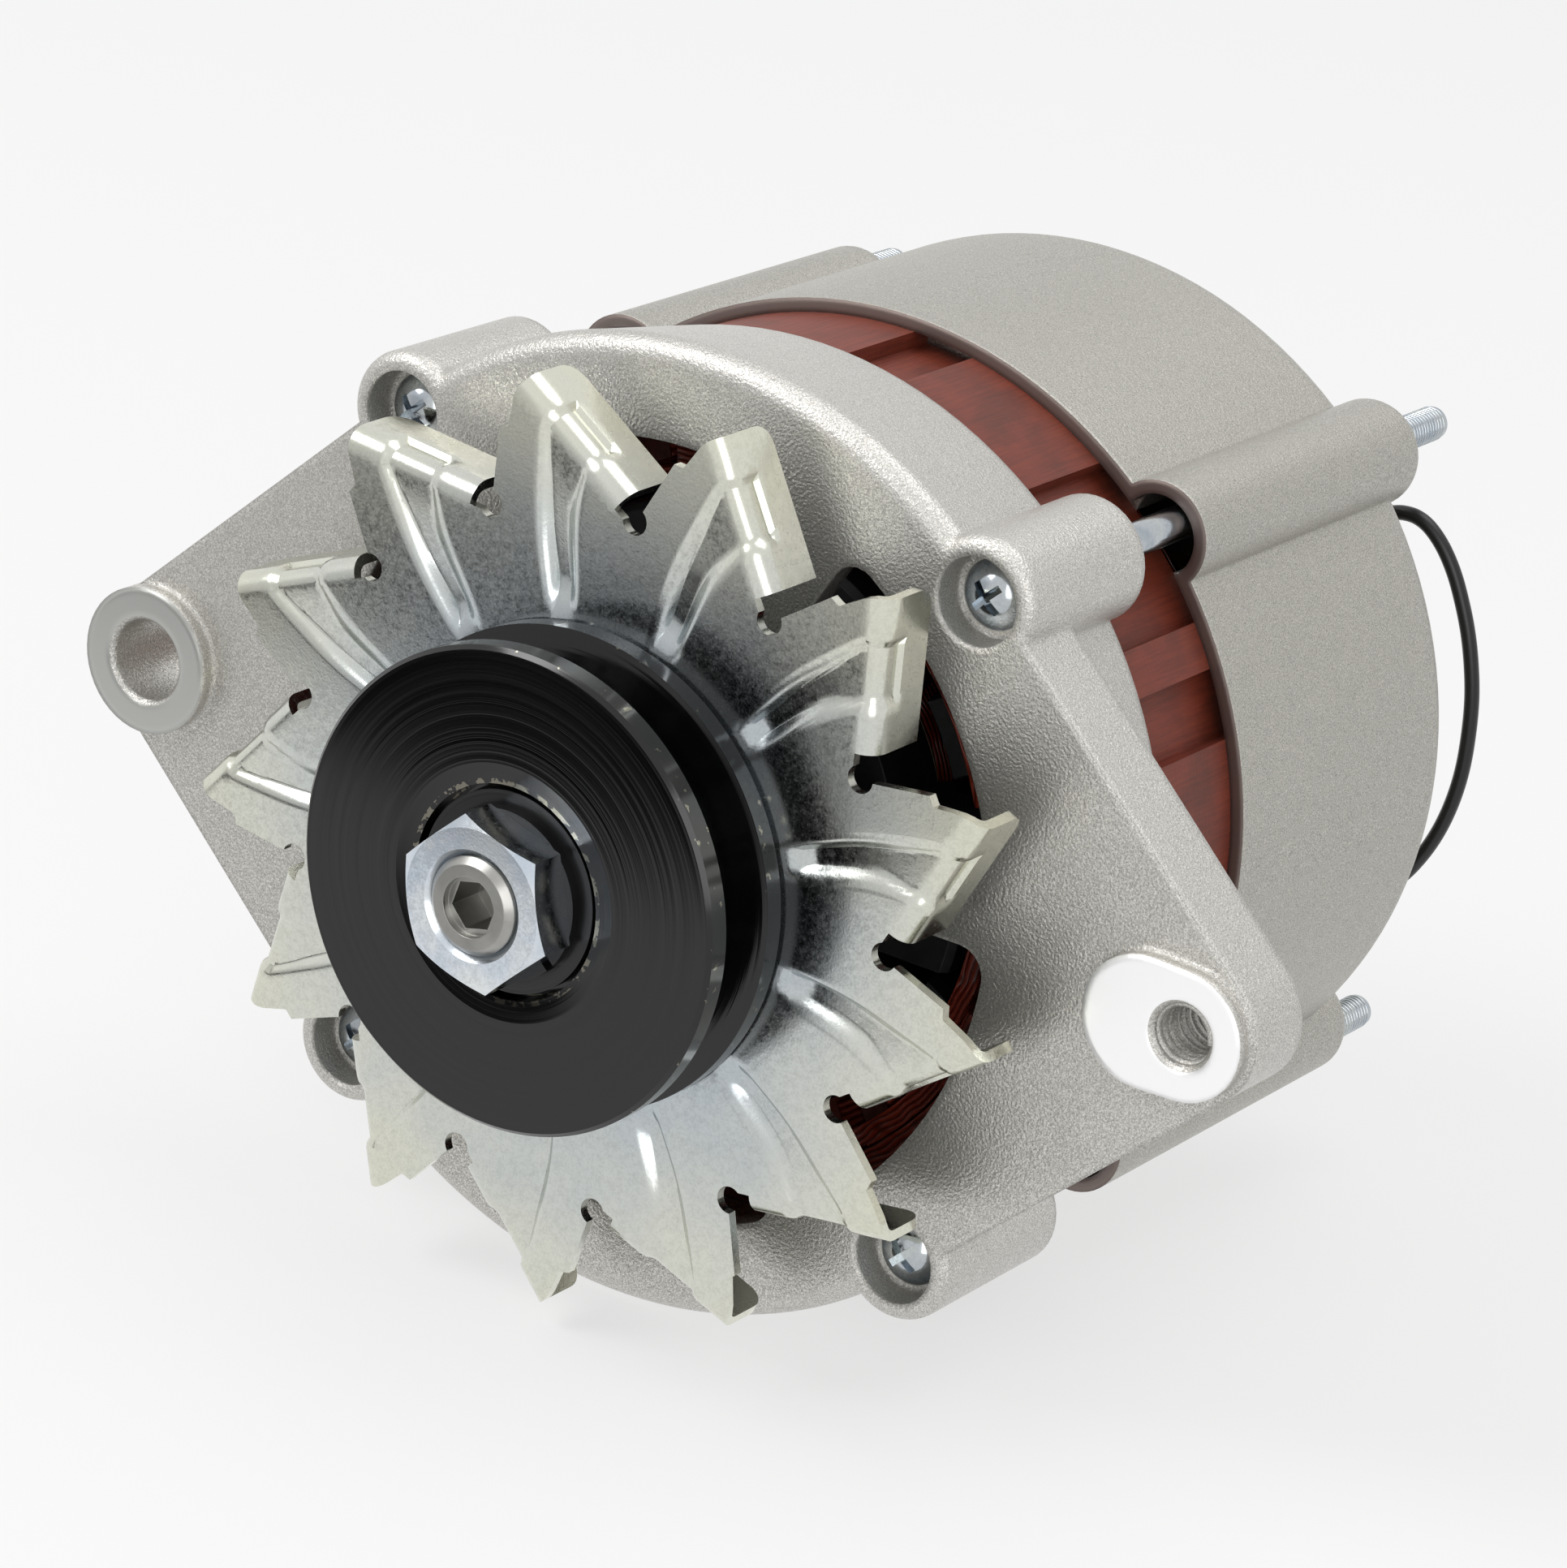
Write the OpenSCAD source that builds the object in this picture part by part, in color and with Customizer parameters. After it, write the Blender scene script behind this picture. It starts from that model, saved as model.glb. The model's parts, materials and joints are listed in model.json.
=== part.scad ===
// Vehicle alternator with an external cooling fan, built as it comes apart on a bench.
// The shaft lies along Y with the pulley towards -Y, +Z is up and the two mounting ears lie along X.
// The origin is on the shaft axis in the middle plane of the belt groove.

/* [Belt drive] */
// Outer diameter of the pulley
pulley_d = 69; // [62:0.5:74]
// Width of the pulley over both rims
pulley_w = 17; // [15:0.5:20]
// Width of the belt groove at the rim
groove_w = 9.8; // [8:0.1:11]
// Depth of the belt groove
groove_depth = 10.5; // [8:0.5:11]
// Included angle of the belt groove in degrees
groove_angle = 38; // [34:1:40]
// Diameter of the recess for the washers in the pulley's front face
pulley_recess_d = 30.6; // [30:0.2:36]
// Depth of that recess
pulley_recess_depth = 4; // [2:0.5:5]
// Width across the flats of the pulley nut
nut_flats = 22; // [19:1:24]
// Thickness of the pulley nut
nut_h = 6.5; // [5:0.5:11]
// Thread diameter of the shaft end
thread_d = 14; // [12:1:14.5]
// Diameter of the heavy washer under the nut
washer_d = 28.8; // [26:0.2:30]
// Thickness of the heavy washer
washer_t = 3; // [1.5:0.5:4]
// Outer diameter of the spring washer
spring_washer_d = 24.4; // [22:0.2:25]
// Thickness of the spring washer
spring_washer_t = 1.5; // [1:0.1:3]

/* [Cooling fan] */
// Number of fan blades
blade_count = 13; // [9:1:15]
// Radius of the blade tips
fan_tip_r = 68; // [65:0.5:70]
// Radius on which the relief holes lie
relief_r = 50.9; // [47:0.1:52]
// Diameter of the relief holes
relief_d = 4.4; // [3:0.1:5]
// Thickness of the fan's sheet
fan_t = 1.5; // [1:0.1:1.8]
// Depth of the blade flaps, from the fan's front face
flap_depth = 10.6; // [8:0.2:12]
// Outer radius of the fold between blade and flap
fold_r = 3; // [2.2:0.1:3.6]
// Depth of the pressed beads
bead_depth = 0.7; // [0.3:0.1:0.9]

/* [Shaft and bearings] */
// Diameter of the shaft under pulley, fan and front bearing
shaft_d = 15; // [14.6:0.1:17]
// Outer diameter of the front bearing
front_bearing_d = 42; // [40:1:44]
// Width of the front bearing
front_bearing_w = 13; // [11:0.5:14]
// Bore of the rear bearing
rear_bearing_bore = 12; // [11:0.5:13]
// Diameter of the shaft inside the pole pieces
pole_seat_d = 17.5; // [16:0.5:19]
// Outer diameter of the rear bearing
rear_bearing_d = 32; // [30:1:35]
// Width of the rear bearing
rear_bearing_w = 10; // [9:0.5:11]
// Distance from the fan to the front bearing
spacer_len = 10; // [9:0.5:11]

/* [Drive end bracket] */
// Distance from the belt plane to the bracket's front face
bracket_face_y = 24.5; // [23.5:0.1:26]
// Depth of the bracket from front face to rear edge
bracket_depth = 28.3; // [27:0.1:30]
// How much the bracket flares out from its rear edge to its front edge
bracket_flare = 3.9; // [3:0.1:5]
// Thickness of the castings' rims round the core
rim_t = 2.1; // [1.6:0.1:3]
// Thickness of the bracket's front wall
face_t = 4.5; // [3.5:0.1:6]
// Outer radius of the air windows
window_r = 57; // [54:0.5:58]
// Number of air windows
window_count = 6; // [5:1:8]
// Distance of the through bolts' axes outside the core
bolt_offset = 3.75; // [3.2:0.05:4.2]
// Radius of the bolt bosses
boss_r = 9; // [8.5:0.1:9.5]
// Distance from the shaft axis to the axis of either ear
ear_x = 89.5; // [88:0.5:92]
// Thickness of the ears' webs
ear_t = 12; // [9:0.5:15]
// Height of the ears' machined faces over the front wall
ear_pad_h = 2.5; // [1:0.1:4]
// Diameter of the pivot bore
pivot_bore_d = 12.2; // [10:0.1:13]
// Outer diameter of the pivot boss
pivot_boss_d = 22.2; // [20:0.1:23]
// Core diameter of the thread for the adjuster bolt
adjuster_core_d = 8.5; // [6.8:0.1:10.2]

/* [Stator] */
// Outer radius of the laminated core
core_r = 65; // [64.5:0.1:65.3]
// Length of the laminated core
core_len = 30; // [28:0.5:31]
// Radius of the stator bore
stator_bore_r = 45; // [44.6:0.1:45.4]
// Depth to which the core sits in either casting
seat_depth = 4; // [3:0.1:5]
// Number of slots
slot_count = 36; // [36:12:36]
// Length of the winding heads beyond the core
winding_head = 10.5; // [8:0.5:11]

/* [Rotor] */
// Radius of the claw poles
rotor_r = 44.6; // [44.2:0.05:44.7]
// Number of claws on one pole piece
claw_count = 6; // [6:1:7]
// Length of the rotor over both pole pieces
rotor_len = 52; // [48:0.5:53]
// Thickness of the pole pieces' discs
pole_disc_t = 12; // [10:0.5:13]
// Outer diameter of the slip rings
slip_ring_d = 28; // [26:0.5:29]
// Width of one slip ring
slip_ring_w = 6; // [5:0.1:7]

/* [Rear housing] */
// Length of the rear housing from rim to flat back
rear_len = 60.6; // [59:0.1:62]
// Thickness of the back wall
back_t = 4; // [3.5:0.1:5]
// Radius of the rounded rear edge
rear_edge_r = 5; // [3:0.5:6]
// Outer radius of the bolt channels
channel_r = 8.1; // [7.8:0.1:8.6]
// Inner radius of the open bolt channels
channel_bore_r = 6.1; // [5.6:0.1:6.3]
// Length of the upper bolts under the head
upper_bolt_len = 120; // [116:1:124]
// Length of the lower bolts under the head
lower_bolt_len = 125; // [121:1:129]
// Diameter of the through bolts
bolt_d = 5; // [4:0.1:5.4]
// Diameter of the bolt heads
bolt_head_d = 10; // [8:0.1:11]

/* [Electrical parts] */
// Thickness of the heat sinks
heat_sink_t = 3; // [2:0.5:4]
// Diameter of the press-fit diodes
diode_d = 12.7; // [11:0.1:13]
// Diameter of the battery stud
battery_stud_d = 6; // [5:0.5:7]
// Diameter of the warning lamp stud
lamp_stud_d = 5; // [4:0.5:6]
// Width of a brush along the slip ring
brush_w = 5; // [4:0.1:5.4]
// Length of a brush
brush_len = 16; // [12:0.5:18]
// Diameter of the suppressor capacitor
capacitor_d = 17; // [14:0.5:18]
// Length of the suppressor capacitor
capacitor_len = 30; // [24:0.5:32]
// Outer diameter of the suppressor lead
lead_d = 2.3; // [1.8:0.1:2.8]

/* [Hidden] */
$fn = 64;
fit_gap = 0.02;
run_gap = 0.05;
play = 0.3;
bolt_angles = [45, 135, 225, 315];
upper_bolt_angles = [45, 135];
lower_bolt_angles = [225, 315];

// Radii that follow the core
body_r = core_r + rim_t;
bracket_front_r = body_r + bracket_flare;
bolt_circle_r = core_r + bolt_offset;

// Stations along the shaft, from front to rear
pulley_front_y = -pulley_w / 2;
fan_y = pulley_w / 2;
recess_y = pulley_front_y + pulley_recess_depth;
washer_y = recess_y - washer_t;
spring_washer_y = washer_y - spring_washer_t;
nut_y = spring_washer_y - nut_h;
shaft_tip_y = nut_y - 0.6;
spacer_y = fan_y + fan_t;
front_bearing_y = spacer_y + spacer_len;
front_bearing_end_y = front_bearing_y + front_bearing_w;
bracket_end_y = bracket_face_y + bracket_depth;
core_y = bracket_end_y - seat_depth;
core_end_y = core_y + core_len;
rim_y = core_end_y - seat_depth;
back_y = rim_y + rear_len;
back_inner_y = back_y - back_t;
rotor_y = core_y + core_len / 2 - rotor_len / 2;
rotor_end_y = rotor_y + rotor_len;
bolt_seat_y = bracket_face_y + 5.6;
rear_bearing_end_y = back_inner_y - 0.5;
rear_bearing_y = rear_bearing_end_y - rear_bearing_w;

// Bearing inner parts
front_ball_r = 4;
front_pitch_r = (shaft_d + front_bearing_d) / 4;
front_ball_count = 8;
rear_ball_r = 3;
rear_pitch_r = (rear_bearing_bore + rear_bearing_d) / 4;
rear_ball_count = 8;
front_outer_land = front_pitch_r + front_ball_r * 0.69;
front_inner_land = front_pitch_r - front_ball_r * 0.71;
rear_outer_land = rear_pitch_r + rear_ball_r * 0.69;
rear_inner_land = rear_pitch_r - rear_ball_r * 0.71;

// Shaft steps
shoulder_r = 11;
slip_seat_r = 7;
slip_sleeve_r = slip_ring_d / 2 - 2;
spacer_r_out = 12;
nut_phase = 44;

// Fan layout: each blade runs from its own relief hole, clockwise seen from the pulley
blade_pitch = 360 / blade_count;
first_hole_angle = 2.85;
tip_lag = 9.6;
fold_foot_r = relief_r + 3.1;
fold_foot_lag = blade_pitch - 2.2;
bead_r = [36, 55, 62];
bead_lag = [12, 17.3];

// Bracket layout
boss_front_y = fan_y + fan_t + 7;
retainer_t = 2;
retainer_y = front_bearing_end_y;
retainer_screw_r = 25.5;
retainer_screw_angles = [66, 186, 306];
cavity_r = core_r - 3;
hub_r = front_bearing_d / 2 + 4.5;
window_inner_r = hub_r + 4;
window_half_span = 180 / window_count - 5.5;
window_phase = 36;
pocket_r = 6.3;
bolt_clear_r = bolt_d / 2 + 0.3;
ear_r = 10.3;
ear_foot_r = 2.7;
ear_back_y = bracket_face_y + ear_t;
pad_y = bracket_face_y - ear_pad_h;
pad_centre_x = 83.5;
pad_inner_r = 9.4;
pad_outer_r = 9.2;

// Stator layout
slot_pitch = 360 / slot_count;
slot_w = 4;
slot_floor_r = core_r - 8.8;
phase_band = 3;
phase_gap = 0.3;

// Core notches
notch_depth = 2.5;
narrow_notch_angles = [22.9, 82.9, 202.9, 262.9];
narrow_notch_half = 4.5;
bolt_notch_half = 11.6;
winding_r = slot_floor_r - 0.1;
winding_bar_w = 3.6;
phase_step = phase_band + phase_gap;

// Rear housing layout
channel_circle_r = bolt_circle_r - 3.15;
thread_len = 22;
upper_boss_y = back_y + 2.5;
lower_boss_y = back_y + 7;
rear_hub_r = rear_bearing_d / 2 + 4;
interior_r = core_r - 2.5;
stud_x = 36.5;
stud_z = 30;
regulator_hole_x = 12;
regulator_hole_z = [20, 46];
vent_angles = [for (a = [190 : 20 : 330]) a];
vent_r = [26, 42];
vent_w = 6;

// Rectifier layout
positive_y = back_inner_y - 30;
negative_y = back_inner_y - 10;
positive_span = [132, 408];
negative_span = [152, 388];
board_span = [132, 385];
heat_sink_r = [24, core_r - 9];
diode_angles = [210, 270, 330];
diode_ring_r = heat_sink_r[1] - 15;
rectifier_screw_angles = [180, 240, 300];
rectifier_screw_r = heat_sink_r[1] - 8;
rectifier_pillar_r = 5;
board_y = (positive_y + negative_y) / 2 + 1;
board_t = 1.6;
board_end_y = board_y + board_t;
bush_r = 3.4;
spacer_r = 5;
small_screw_r = 2;
small_nut_flats = 7;
axial_diode_x = 31;
axial_diode_len = 9;
axial_diode_r = 2.4;
axial_lead_run = 1.4;
axial_lead_r = 0.5;

// Slip rings and brushes
slip_sleeve_y = rotor_end_y + 4;
slip_sleeve_len = 22;
front_ring_y = slip_sleeve_y + 2;
rear_ring_y = front_ring_y + slip_ring_w + 4;
brush_half_x = 3.5;
brush_clearance = 0.15;
brush_base_z = slip_ring_d / 2 - 0.4;
brush_top_z = brush_base_z + brush_len;
holder_half_x = 7;
holder_z = [slip_ring_d / 2 + 1.2, 45];
holder_y = [front_ring_y - 2.5, rear_ring_y + slip_ring_w + 2.5];
chamber_top_z = 43;
spring_turns = 7;
spring_wire_r = 0.35;
spring_r = 1.9;

// Regulator, capacitor and studs on the back
regulator_z = [18, 49];
regulator_half_x = 24;
flange_t = 4;
cover_t = 10;
strap_t = 1;
strap_x = [22, 34];
capacitor_x = 14;
capacitor_z = -25.5;
capacitor_foot_z = -4;
lead_y = back_y + strap_t + capacitor_d / 2;
// Places of the small screws on the back: X, Z and the height of the seat above the back face
rear_screws = [[19, 33.5, flange_t], [-19, 33.5, flange_t], [28, -9, strap_t]];
stud_spacer_r = 5.5;
stud_washer_r = 8;
stud_washer_t = 2;
stud_hole_gap = 2;
barrel_r = 1.9;
lead_end_gap = 0.25;
terminal_t = 0.8;
terminal_y = lead_y - barrel_r;
battery_nut_flats = 10;
battery_nut_h = 5;
battery_nut_end_y = terminal_y + terminal_t + battery_nut_h;
battery_stud_end_y = terminal_y + 15;
battery_core_r = battery_stud_d / 2 - 0.5;
lamp_nut_flats = 8;
lamp_nut_h = 4;
lamp_nut_end_y = back_y + stud_washer_t + 2 * lamp_nut_h + 0.2;
lamp_core_r = lamp_stud_d / 2 - 0.4;
lamp_stud_end_y = back_y + 16;

// Claw poles
claw_base_w = 22;
claw_tip_w = 11;
claw_root_r = 33;
claw_tip_t = 4;
pole_hub_r = 16;
bobbin_wall = 1.5;
bobbin_flange_r = 32;
coil_lead_r = 0.8;
coil_lead_x = 20;

// Route of the suppressor lead in X and Z, from the battery terminal to the capacitor
lead_points = [
    [46.5, 34.9], [48.6, 35.5], [51, 35.5], [53.4, 34.5], [56, 32.2], [58.4, 28.9], [60.4, 25],
    [62.2, 20.6], [63.6, 15.8], [64.6, 10.6], [65, 5], [64.9, -0.8], [64.1, -6.2], [62.6, -11.4],
    [60.4, -16.2], [57.6, -20.4], [54.2, -23.6], [50.4, -25.2], [46.6, -25.5]
];

// Helpers

// Extrudes a shape drawn in X and Z from y0 to y1
module slab(y0, y1) {
    translate([0, y1, 0])
        rotate([90, 0, 0])
            linear_extrude(height = y1 - y0)
                children();
}

// Turns a profile drawn as radius and Y about the shaft axis
module turned() {
    rotate([-90, 0, 0])
        rotate_extrude($fn = 96)
            children();
}

// A round bar along Y at a place in X and Z
module rod(r, y0, y1, at = [0, 0]) {
    translate([at[0], y0, at[1]])
        rotate([-90, 0, 0])
            cylinder(r = r, h = y1 - y0);
}

// A ring along Y
module ring(r_in, r_out, y0, y1, at = [0, 0]) {
    difference() {
        rod(r_out, y0, y1, at);
        rod(r_in, y0 - 1, y1 + 1, at);
    }
}

// Turns children about the shaft to each of a list of angles
module around(angles) {
    for (a = angles)
        rotate([0, -a, 0])
            children();
}

function polar(r, a) = [r * cos(a), r * sin(a)];

// A wedge in X and Z from the axis, wide enough for any part here
module wedge(a0, a1, r = 120) {
    steps = ceil((a1 - a0) / 60);
    polygon(concat([[0, 0]], [for (i = [0 : steps]) polar(r, a0 + (a1 - a0) * i / steps)]));
}

// A flat sector of a ring in X and Z
module sector(r_in, r_out, a0, a1) {
    intersection() {
        difference() {
            circle(r = r_out, $fn = 96);
            circle(r = r_in, $fn = 96);
        }
        wedge(a0, a1);
    }
}

// Points of an arc about a centre
function arc(centre, r, a0, a1, steps) = [for (i = [0 : steps]) centre + polar(r, a0 + (a1 - a0) * i / steps)];

// A sector of a ring with rounded corners
module rounded_sector(r_in, r_out, half_angle, corner) {
    outer = half_angle - asin(corner / (r_out - corner));
    inner = half_angle - asin(corner / (r_in + corner));
    outer_at = [for (side = [-1, 1]) polar(r_out - corner, side * outer)];
    inner_at = [for (side = [-1, 1]) polar(r_in + corner, side * inner)];
    polygon(concat(
        arc([0, 0], r_out, -outer, outer, 14),
        arc(outer_at[1], corner, outer + 15, half_angle + 90, 4),
        arc(inner_at[1], corner, half_angle + 90, 180 + inner - 15, 4),
        arc([0, 0], r_in, inner, -inner, 8),
        arc(inner_at[0], corner, 180 - inner + 15, 270 - half_angle, 4),
        arc(outer_at[0], corner, -half_angle - 90, -outer - 15, 4)
    ));
}

// A hexagon head or nut along Y with chamfered corners
module hexagon(flats, y0, y1, at = [0, 0], phase = 0) {
    corner_r = flats / sqrt(3);
    translate([at[0], 0, at[1]])
        intersection() {
            slab(y0, y1)
                rotate(phase)
                    circle(r = corner_r, $fn = 6);
            turned()
                polygon([
                    [0, y0], [flats / 2, y0], [corner_r + 0.1, y0 + 1], [corner_r + 0.1, y1], [0, y1]
                ]);
        }
}

// Bearing parts

module bearing_outer(r_out, r_in, y0, y1, pitch_r, ball_r) {
    difference() {
        ring(r_in, r_out - fit_gap, y0, y1);
        turned()
            translate([pitch_r, (y0 + y1) / 2])
                circle(r = ball_r + run_gap);
        for (y = [y0 - 1, y1 - 1.2])
            rod(r_in + 1, y, y + 2.2);
    }
}

module bearing_inner(r_in, r_out, y0, y1, pitch_r, ball_r) {
    difference() {
        ring(r_in, r_out, y0, y1);
        turned()
            translate([pitch_r, (y0 + y1) / 2])
                circle(r = ball_r + run_gap);
    }
}

module bearing_seal_pair(r_in, r_out, y0, y1) {
    ring(r_in + play, r_out + 1 - fit_gap, y0 + 0.2, y0 + 1.2);
    ring(r_in + play, r_out + 1 - fit_gap, y1 - 1.2, y1 - 0.2);
}

// Balls held in a ribbon cage that meets each ball at its pocket
module caged_balls(pitch_r, ball_r, count, y_mid) {
    around([for (i = [0 : count - 1]) i * 360 / count])
        translate([pitch_r, y_mid, 0])
            sphere(r = ball_r, $fn = 32);
    difference() {
        ring(pitch_r - 0.6, pitch_r + 0.6, y_mid - ball_r * 0.7, y_mid + ball_r * 0.7);
        around([for (i = [0 : count - 1]) i * 360 / count])
            translate([pitch_r, y_mid, 0])
                sphere(r = ball_r + run_gap, $fn = 32);
    }
}

// Castings

// Outline of one ear: a round end that runs tangentially into both bolt bosses
module ear_outline() {
    foot = polar(bolt_circle_r, 45);
    run = foot - [ear_x, 0];
    normal = atan2(run[1], run[0]) - acos((ear_r - ear_foot_r) / norm(run));
    tip = [ear_x, 0] + polar(ear_r, normal);
    root = foot + polar(ear_foot_r, normal);
    translate([ear_x, 0])
        circle(r = ear_r);
    polygon([root, tip, [tip[0], -tip[1]], [root[0], -root[1]]]);
}

// Boss that carries the front bearing, with a rounded front edge
module bearing_hub() {
    edge = 2.5;
    turned() {
        polygon([
            [0, boss_front_y], [hub_r - edge, boss_front_y], [hub_r, boss_front_y + edge],
            [hub_r, bracket_face_y + 2], [0, bracket_face_y + 2]
        ]);
        translate([hub_r - edge, boss_front_y + edge])
            circle(r = edge);
    }
}

// Boss round one through bolt, with a rounded front edge
module front_bolt_boss(angle) {
    edge = 2;
    at = polar(bolt_circle_r, angle);
    translate([at[0], 0, at[1]])
        turned() {
            polygon([
                [0, bracket_face_y], [boss_r - edge, bracket_face_y], [boss_r, bracket_face_y + edge],
                [boss_r, bracket_end_y], [0, bracket_end_y]
            ]);
            translate([boss_r - edge, bracket_face_y + edge])
                circle(r = edge);
        }
}

module bracket_shell() {
    edge_r = 3;
    turned()
        difference() {
            union() {
                polygon([
                    [0, bracket_face_y], [bracket_front_r - edge_r, bracket_face_y],
                    [bracket_front_r, bracket_face_y + edge_r], [body_r, bracket_end_y], [0, bracket_end_y]
                ]);
                translate([bracket_front_r - edge_r, bracket_face_y + edge_r])
                    circle(r = edge_r);
            }
            translate([0, bracket_face_y + face_t])
                square([cavity_r, bracket_depth]);
        }
}

module drive_end_bracket() {
    color("lightgray")
        difference() {
            union() {
                difference() {
                    union() {
                        bracket_shell();
                        for (a = bolt_angles)
                            front_bolt_boss(a);
                        for (side = [0, 1])
                            slab(bracket_face_y, ear_back_y)
                                mirror([side, 0])
                                    ear_outline();
                    }
                    rod(cavity_r, bracket_face_y + face_t, bracket_end_y + 1);
                    slab(bracket_face_y - 1, bracket_face_y + face_t + 1)
                        for (i = [0 : window_count - 1])
                            rotate(window_phase + i * 360 / window_count)
                                rounded_sector(window_inner_r, window_r, window_half_span, 4);
                }
                bearing_hub();
                rod(window_inner_r - 0.1, bracket_face_y + 1, front_bearing_end_y);
                translate([-ear_x, 0, 0])
                    rod(pivot_boss_d / 2, pad_y, ear_back_y);
                slab(pad_y, ear_back_y - 1)
                    adjuster_pad_outline();
            }
            rod(front_bearing_d / 2, front_bearing_y, front_bearing_end_y + 1);
            rod(front_bearing_d / 2 - 5, boss_front_y - 1, front_bearing_y + 1);
            rod(core_r + fit_gap, core_y, bracket_end_y + 1);
            for (a = bolt_angles) {
                rod(pocket_r, bracket_face_y - 1, bolt_seat_y, polar(bolt_circle_r, a));
                rod(bolt_clear_r, bolt_seat_y - 1, bracket_end_y + 1, polar(bolt_circle_r, a));
            }
            around(retainer_screw_angles)
                rod(small_screw_r + fit_gap, front_bearing_end_y - 9, front_bearing_end_y + 1, [retainer_screw_r, 0]);
            rod(pivot_bore_d / 2, pad_y - 1, ear_back_y + 1, [-ear_x, 0]);
            bore_chamfer(pivot_bore_d / 2, 0.7, pad_y, -ear_x);
            rod(adjuster_core_d / 2, pad_y - 1, ear_back_y + 1, [ear_x, 0]);
            bore_chamfer(adjuster_core_d / 2, 0.8, pad_y, ear_x);
        }
}

module bore_chamfer(r, depth, y, x) {
    translate([x, y - 0.01, 0])
        rotate([-90, 0, 0])
            cylinder(r1 = r + depth, r2 = r, h = depth);
}

module adjuster_pad_outline() {
    lean = asin((pad_inner_r - pad_outer_r) / (ear_x - pad_centre_x));
    polygon(concat(
        arc([ear_x, 0], pad_outer_r, lean - 90, 90 - lean, 16),
        arc([pad_centre_x, 0], pad_inner_r, 90 - lean, 270 + lean, 16)
    ));
}

module rear_shell() {
    turned()
        difference() {
            union() {
                polygon([
                    [0, rim_y], [body_r, rim_y], [body_r, back_y - rear_edge_r],
                    [body_r - rear_edge_r, back_y], [0, back_y]
                ]);
                translate([body_r - rear_edge_r, back_y - rear_edge_r])
                    circle(r = rear_edge_r);
            }
            translate([0, rim_y - 1])
                square([interior_r, rear_len - back_t + 1]);
        }
}

// Solid end of a bolt channel with a rounded rear edge
module channel_end(angle, end_y) {
    edge = 3;
    centre = polar(channel_circle_r, angle);
    translate([centre[0], 0, centre[1]])
        turned() {
            polygon([
                [0, rim_y], [channel_r, rim_y], [channel_r, end_y - edge],
                [channel_r - edge, end_y], [0, end_y]
            ]);
            translate([channel_r - edge, end_y - edge])
                circle(r = edge);
        }
}

module rear_housing() {
    color("silver")
        difference() {
            union() {
                difference() {
                    union() {
                        rear_shell();
                        for (a = upper_bolt_angles)
                            channel_end(a, upper_boss_y);
                        for (a = lower_bolt_angles)
                            channel_end(a, lower_boss_y);
                    }
                    rod(interior_r, rim_y - 1, upper_boss_y - thread_len);
                    for (a = bolt_angles)
                        rod(channel_bore_r, rim_y - 1, upper_boss_y - thread_len, polar(channel_circle_r, a));
                }
                rod(rear_hub_r, rear_bearing_y - 2, back_y - 1);
                for (a = rectifier_screw_angles)
                    rod(rectifier_pillar_r, negative_y + heat_sink_t, back_y - 1, polar(rectifier_screw_r, a));
            }
            rod(core_r + fit_gap, rim_y - 1, core_end_y);
            rod(rear_bearing_d / 2, rear_bearing_y - 3, rear_bearing_end_y);
            for (a = bolt_angles)
                rod(bolt_d / 2 + fit_gap, rim_y - 1, lower_boss_y + 1, polar(bolt_circle_r, a));
            for (a = rectifier_screw_angles)
                rod(2 + fit_gap, negative_y, back_y - 2, polar(rectifier_screw_r, a));
            rear_openings();
        }
}

module rear_openings() {
    slab(back_inner_y - 1, back_y + 1) {
        translate([-regulator_hole_x, regulator_hole_z[0]])
            square([2 * regulator_hole_x, regulator_hole_z[1] - regulator_hole_z[0]]);
        for (a = vent_angles)
            rotate(a) {
                translate([vent_r[0], -vent_w / 2])
                    square([vent_r[1] - vent_r[0], vent_w]);
                translate([vent_r[1], 0])
                    circle(r = vent_w / 2);
            }
        translate([stud_x, stud_z])
            circle(r = battery_stud_d / 2 + stud_hole_gap);
        translate([-stud_x, stud_z])
            circle(r = lamp_stud_d / 2 + stud_hole_gap);
    }
    for (s = rear_screws)
        rod(small_screw_r + fit_gap, back_inner_y - 1, back_y + 1, [s[0], s[1]]);
}

// Stator

module stator_core() {
    color("firebrick")
        slab(core_y, core_end_y)
            difference() {
                circle(r = core_r, $fn = 128);
                circle(r = stator_bore_r, $fn = 96);
                for (i = [0 : slot_count - 1])
                    rotate(i * slot_pitch) {
                        translate([stator_bore_r - 1, -1.3])
                            square([3, 2.6]);
                        translate([stator_bore_r + 1, -slot_w / 2])
                            square([slot_floor_r - stator_bore_r - 1, slot_w]);
                    }
                for (a = narrow_notch_angles)
                    rotate(a)
                        sector(core_r - notch_depth, core_r + 1, -narrow_notch_half, narrow_notch_half);
                for (a = bolt_angles)
                    rotate(a)
                        sector(core_r - notch_depth, core_r + 1, -bolt_notch_half, bolt_notch_half);
            }
}

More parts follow.
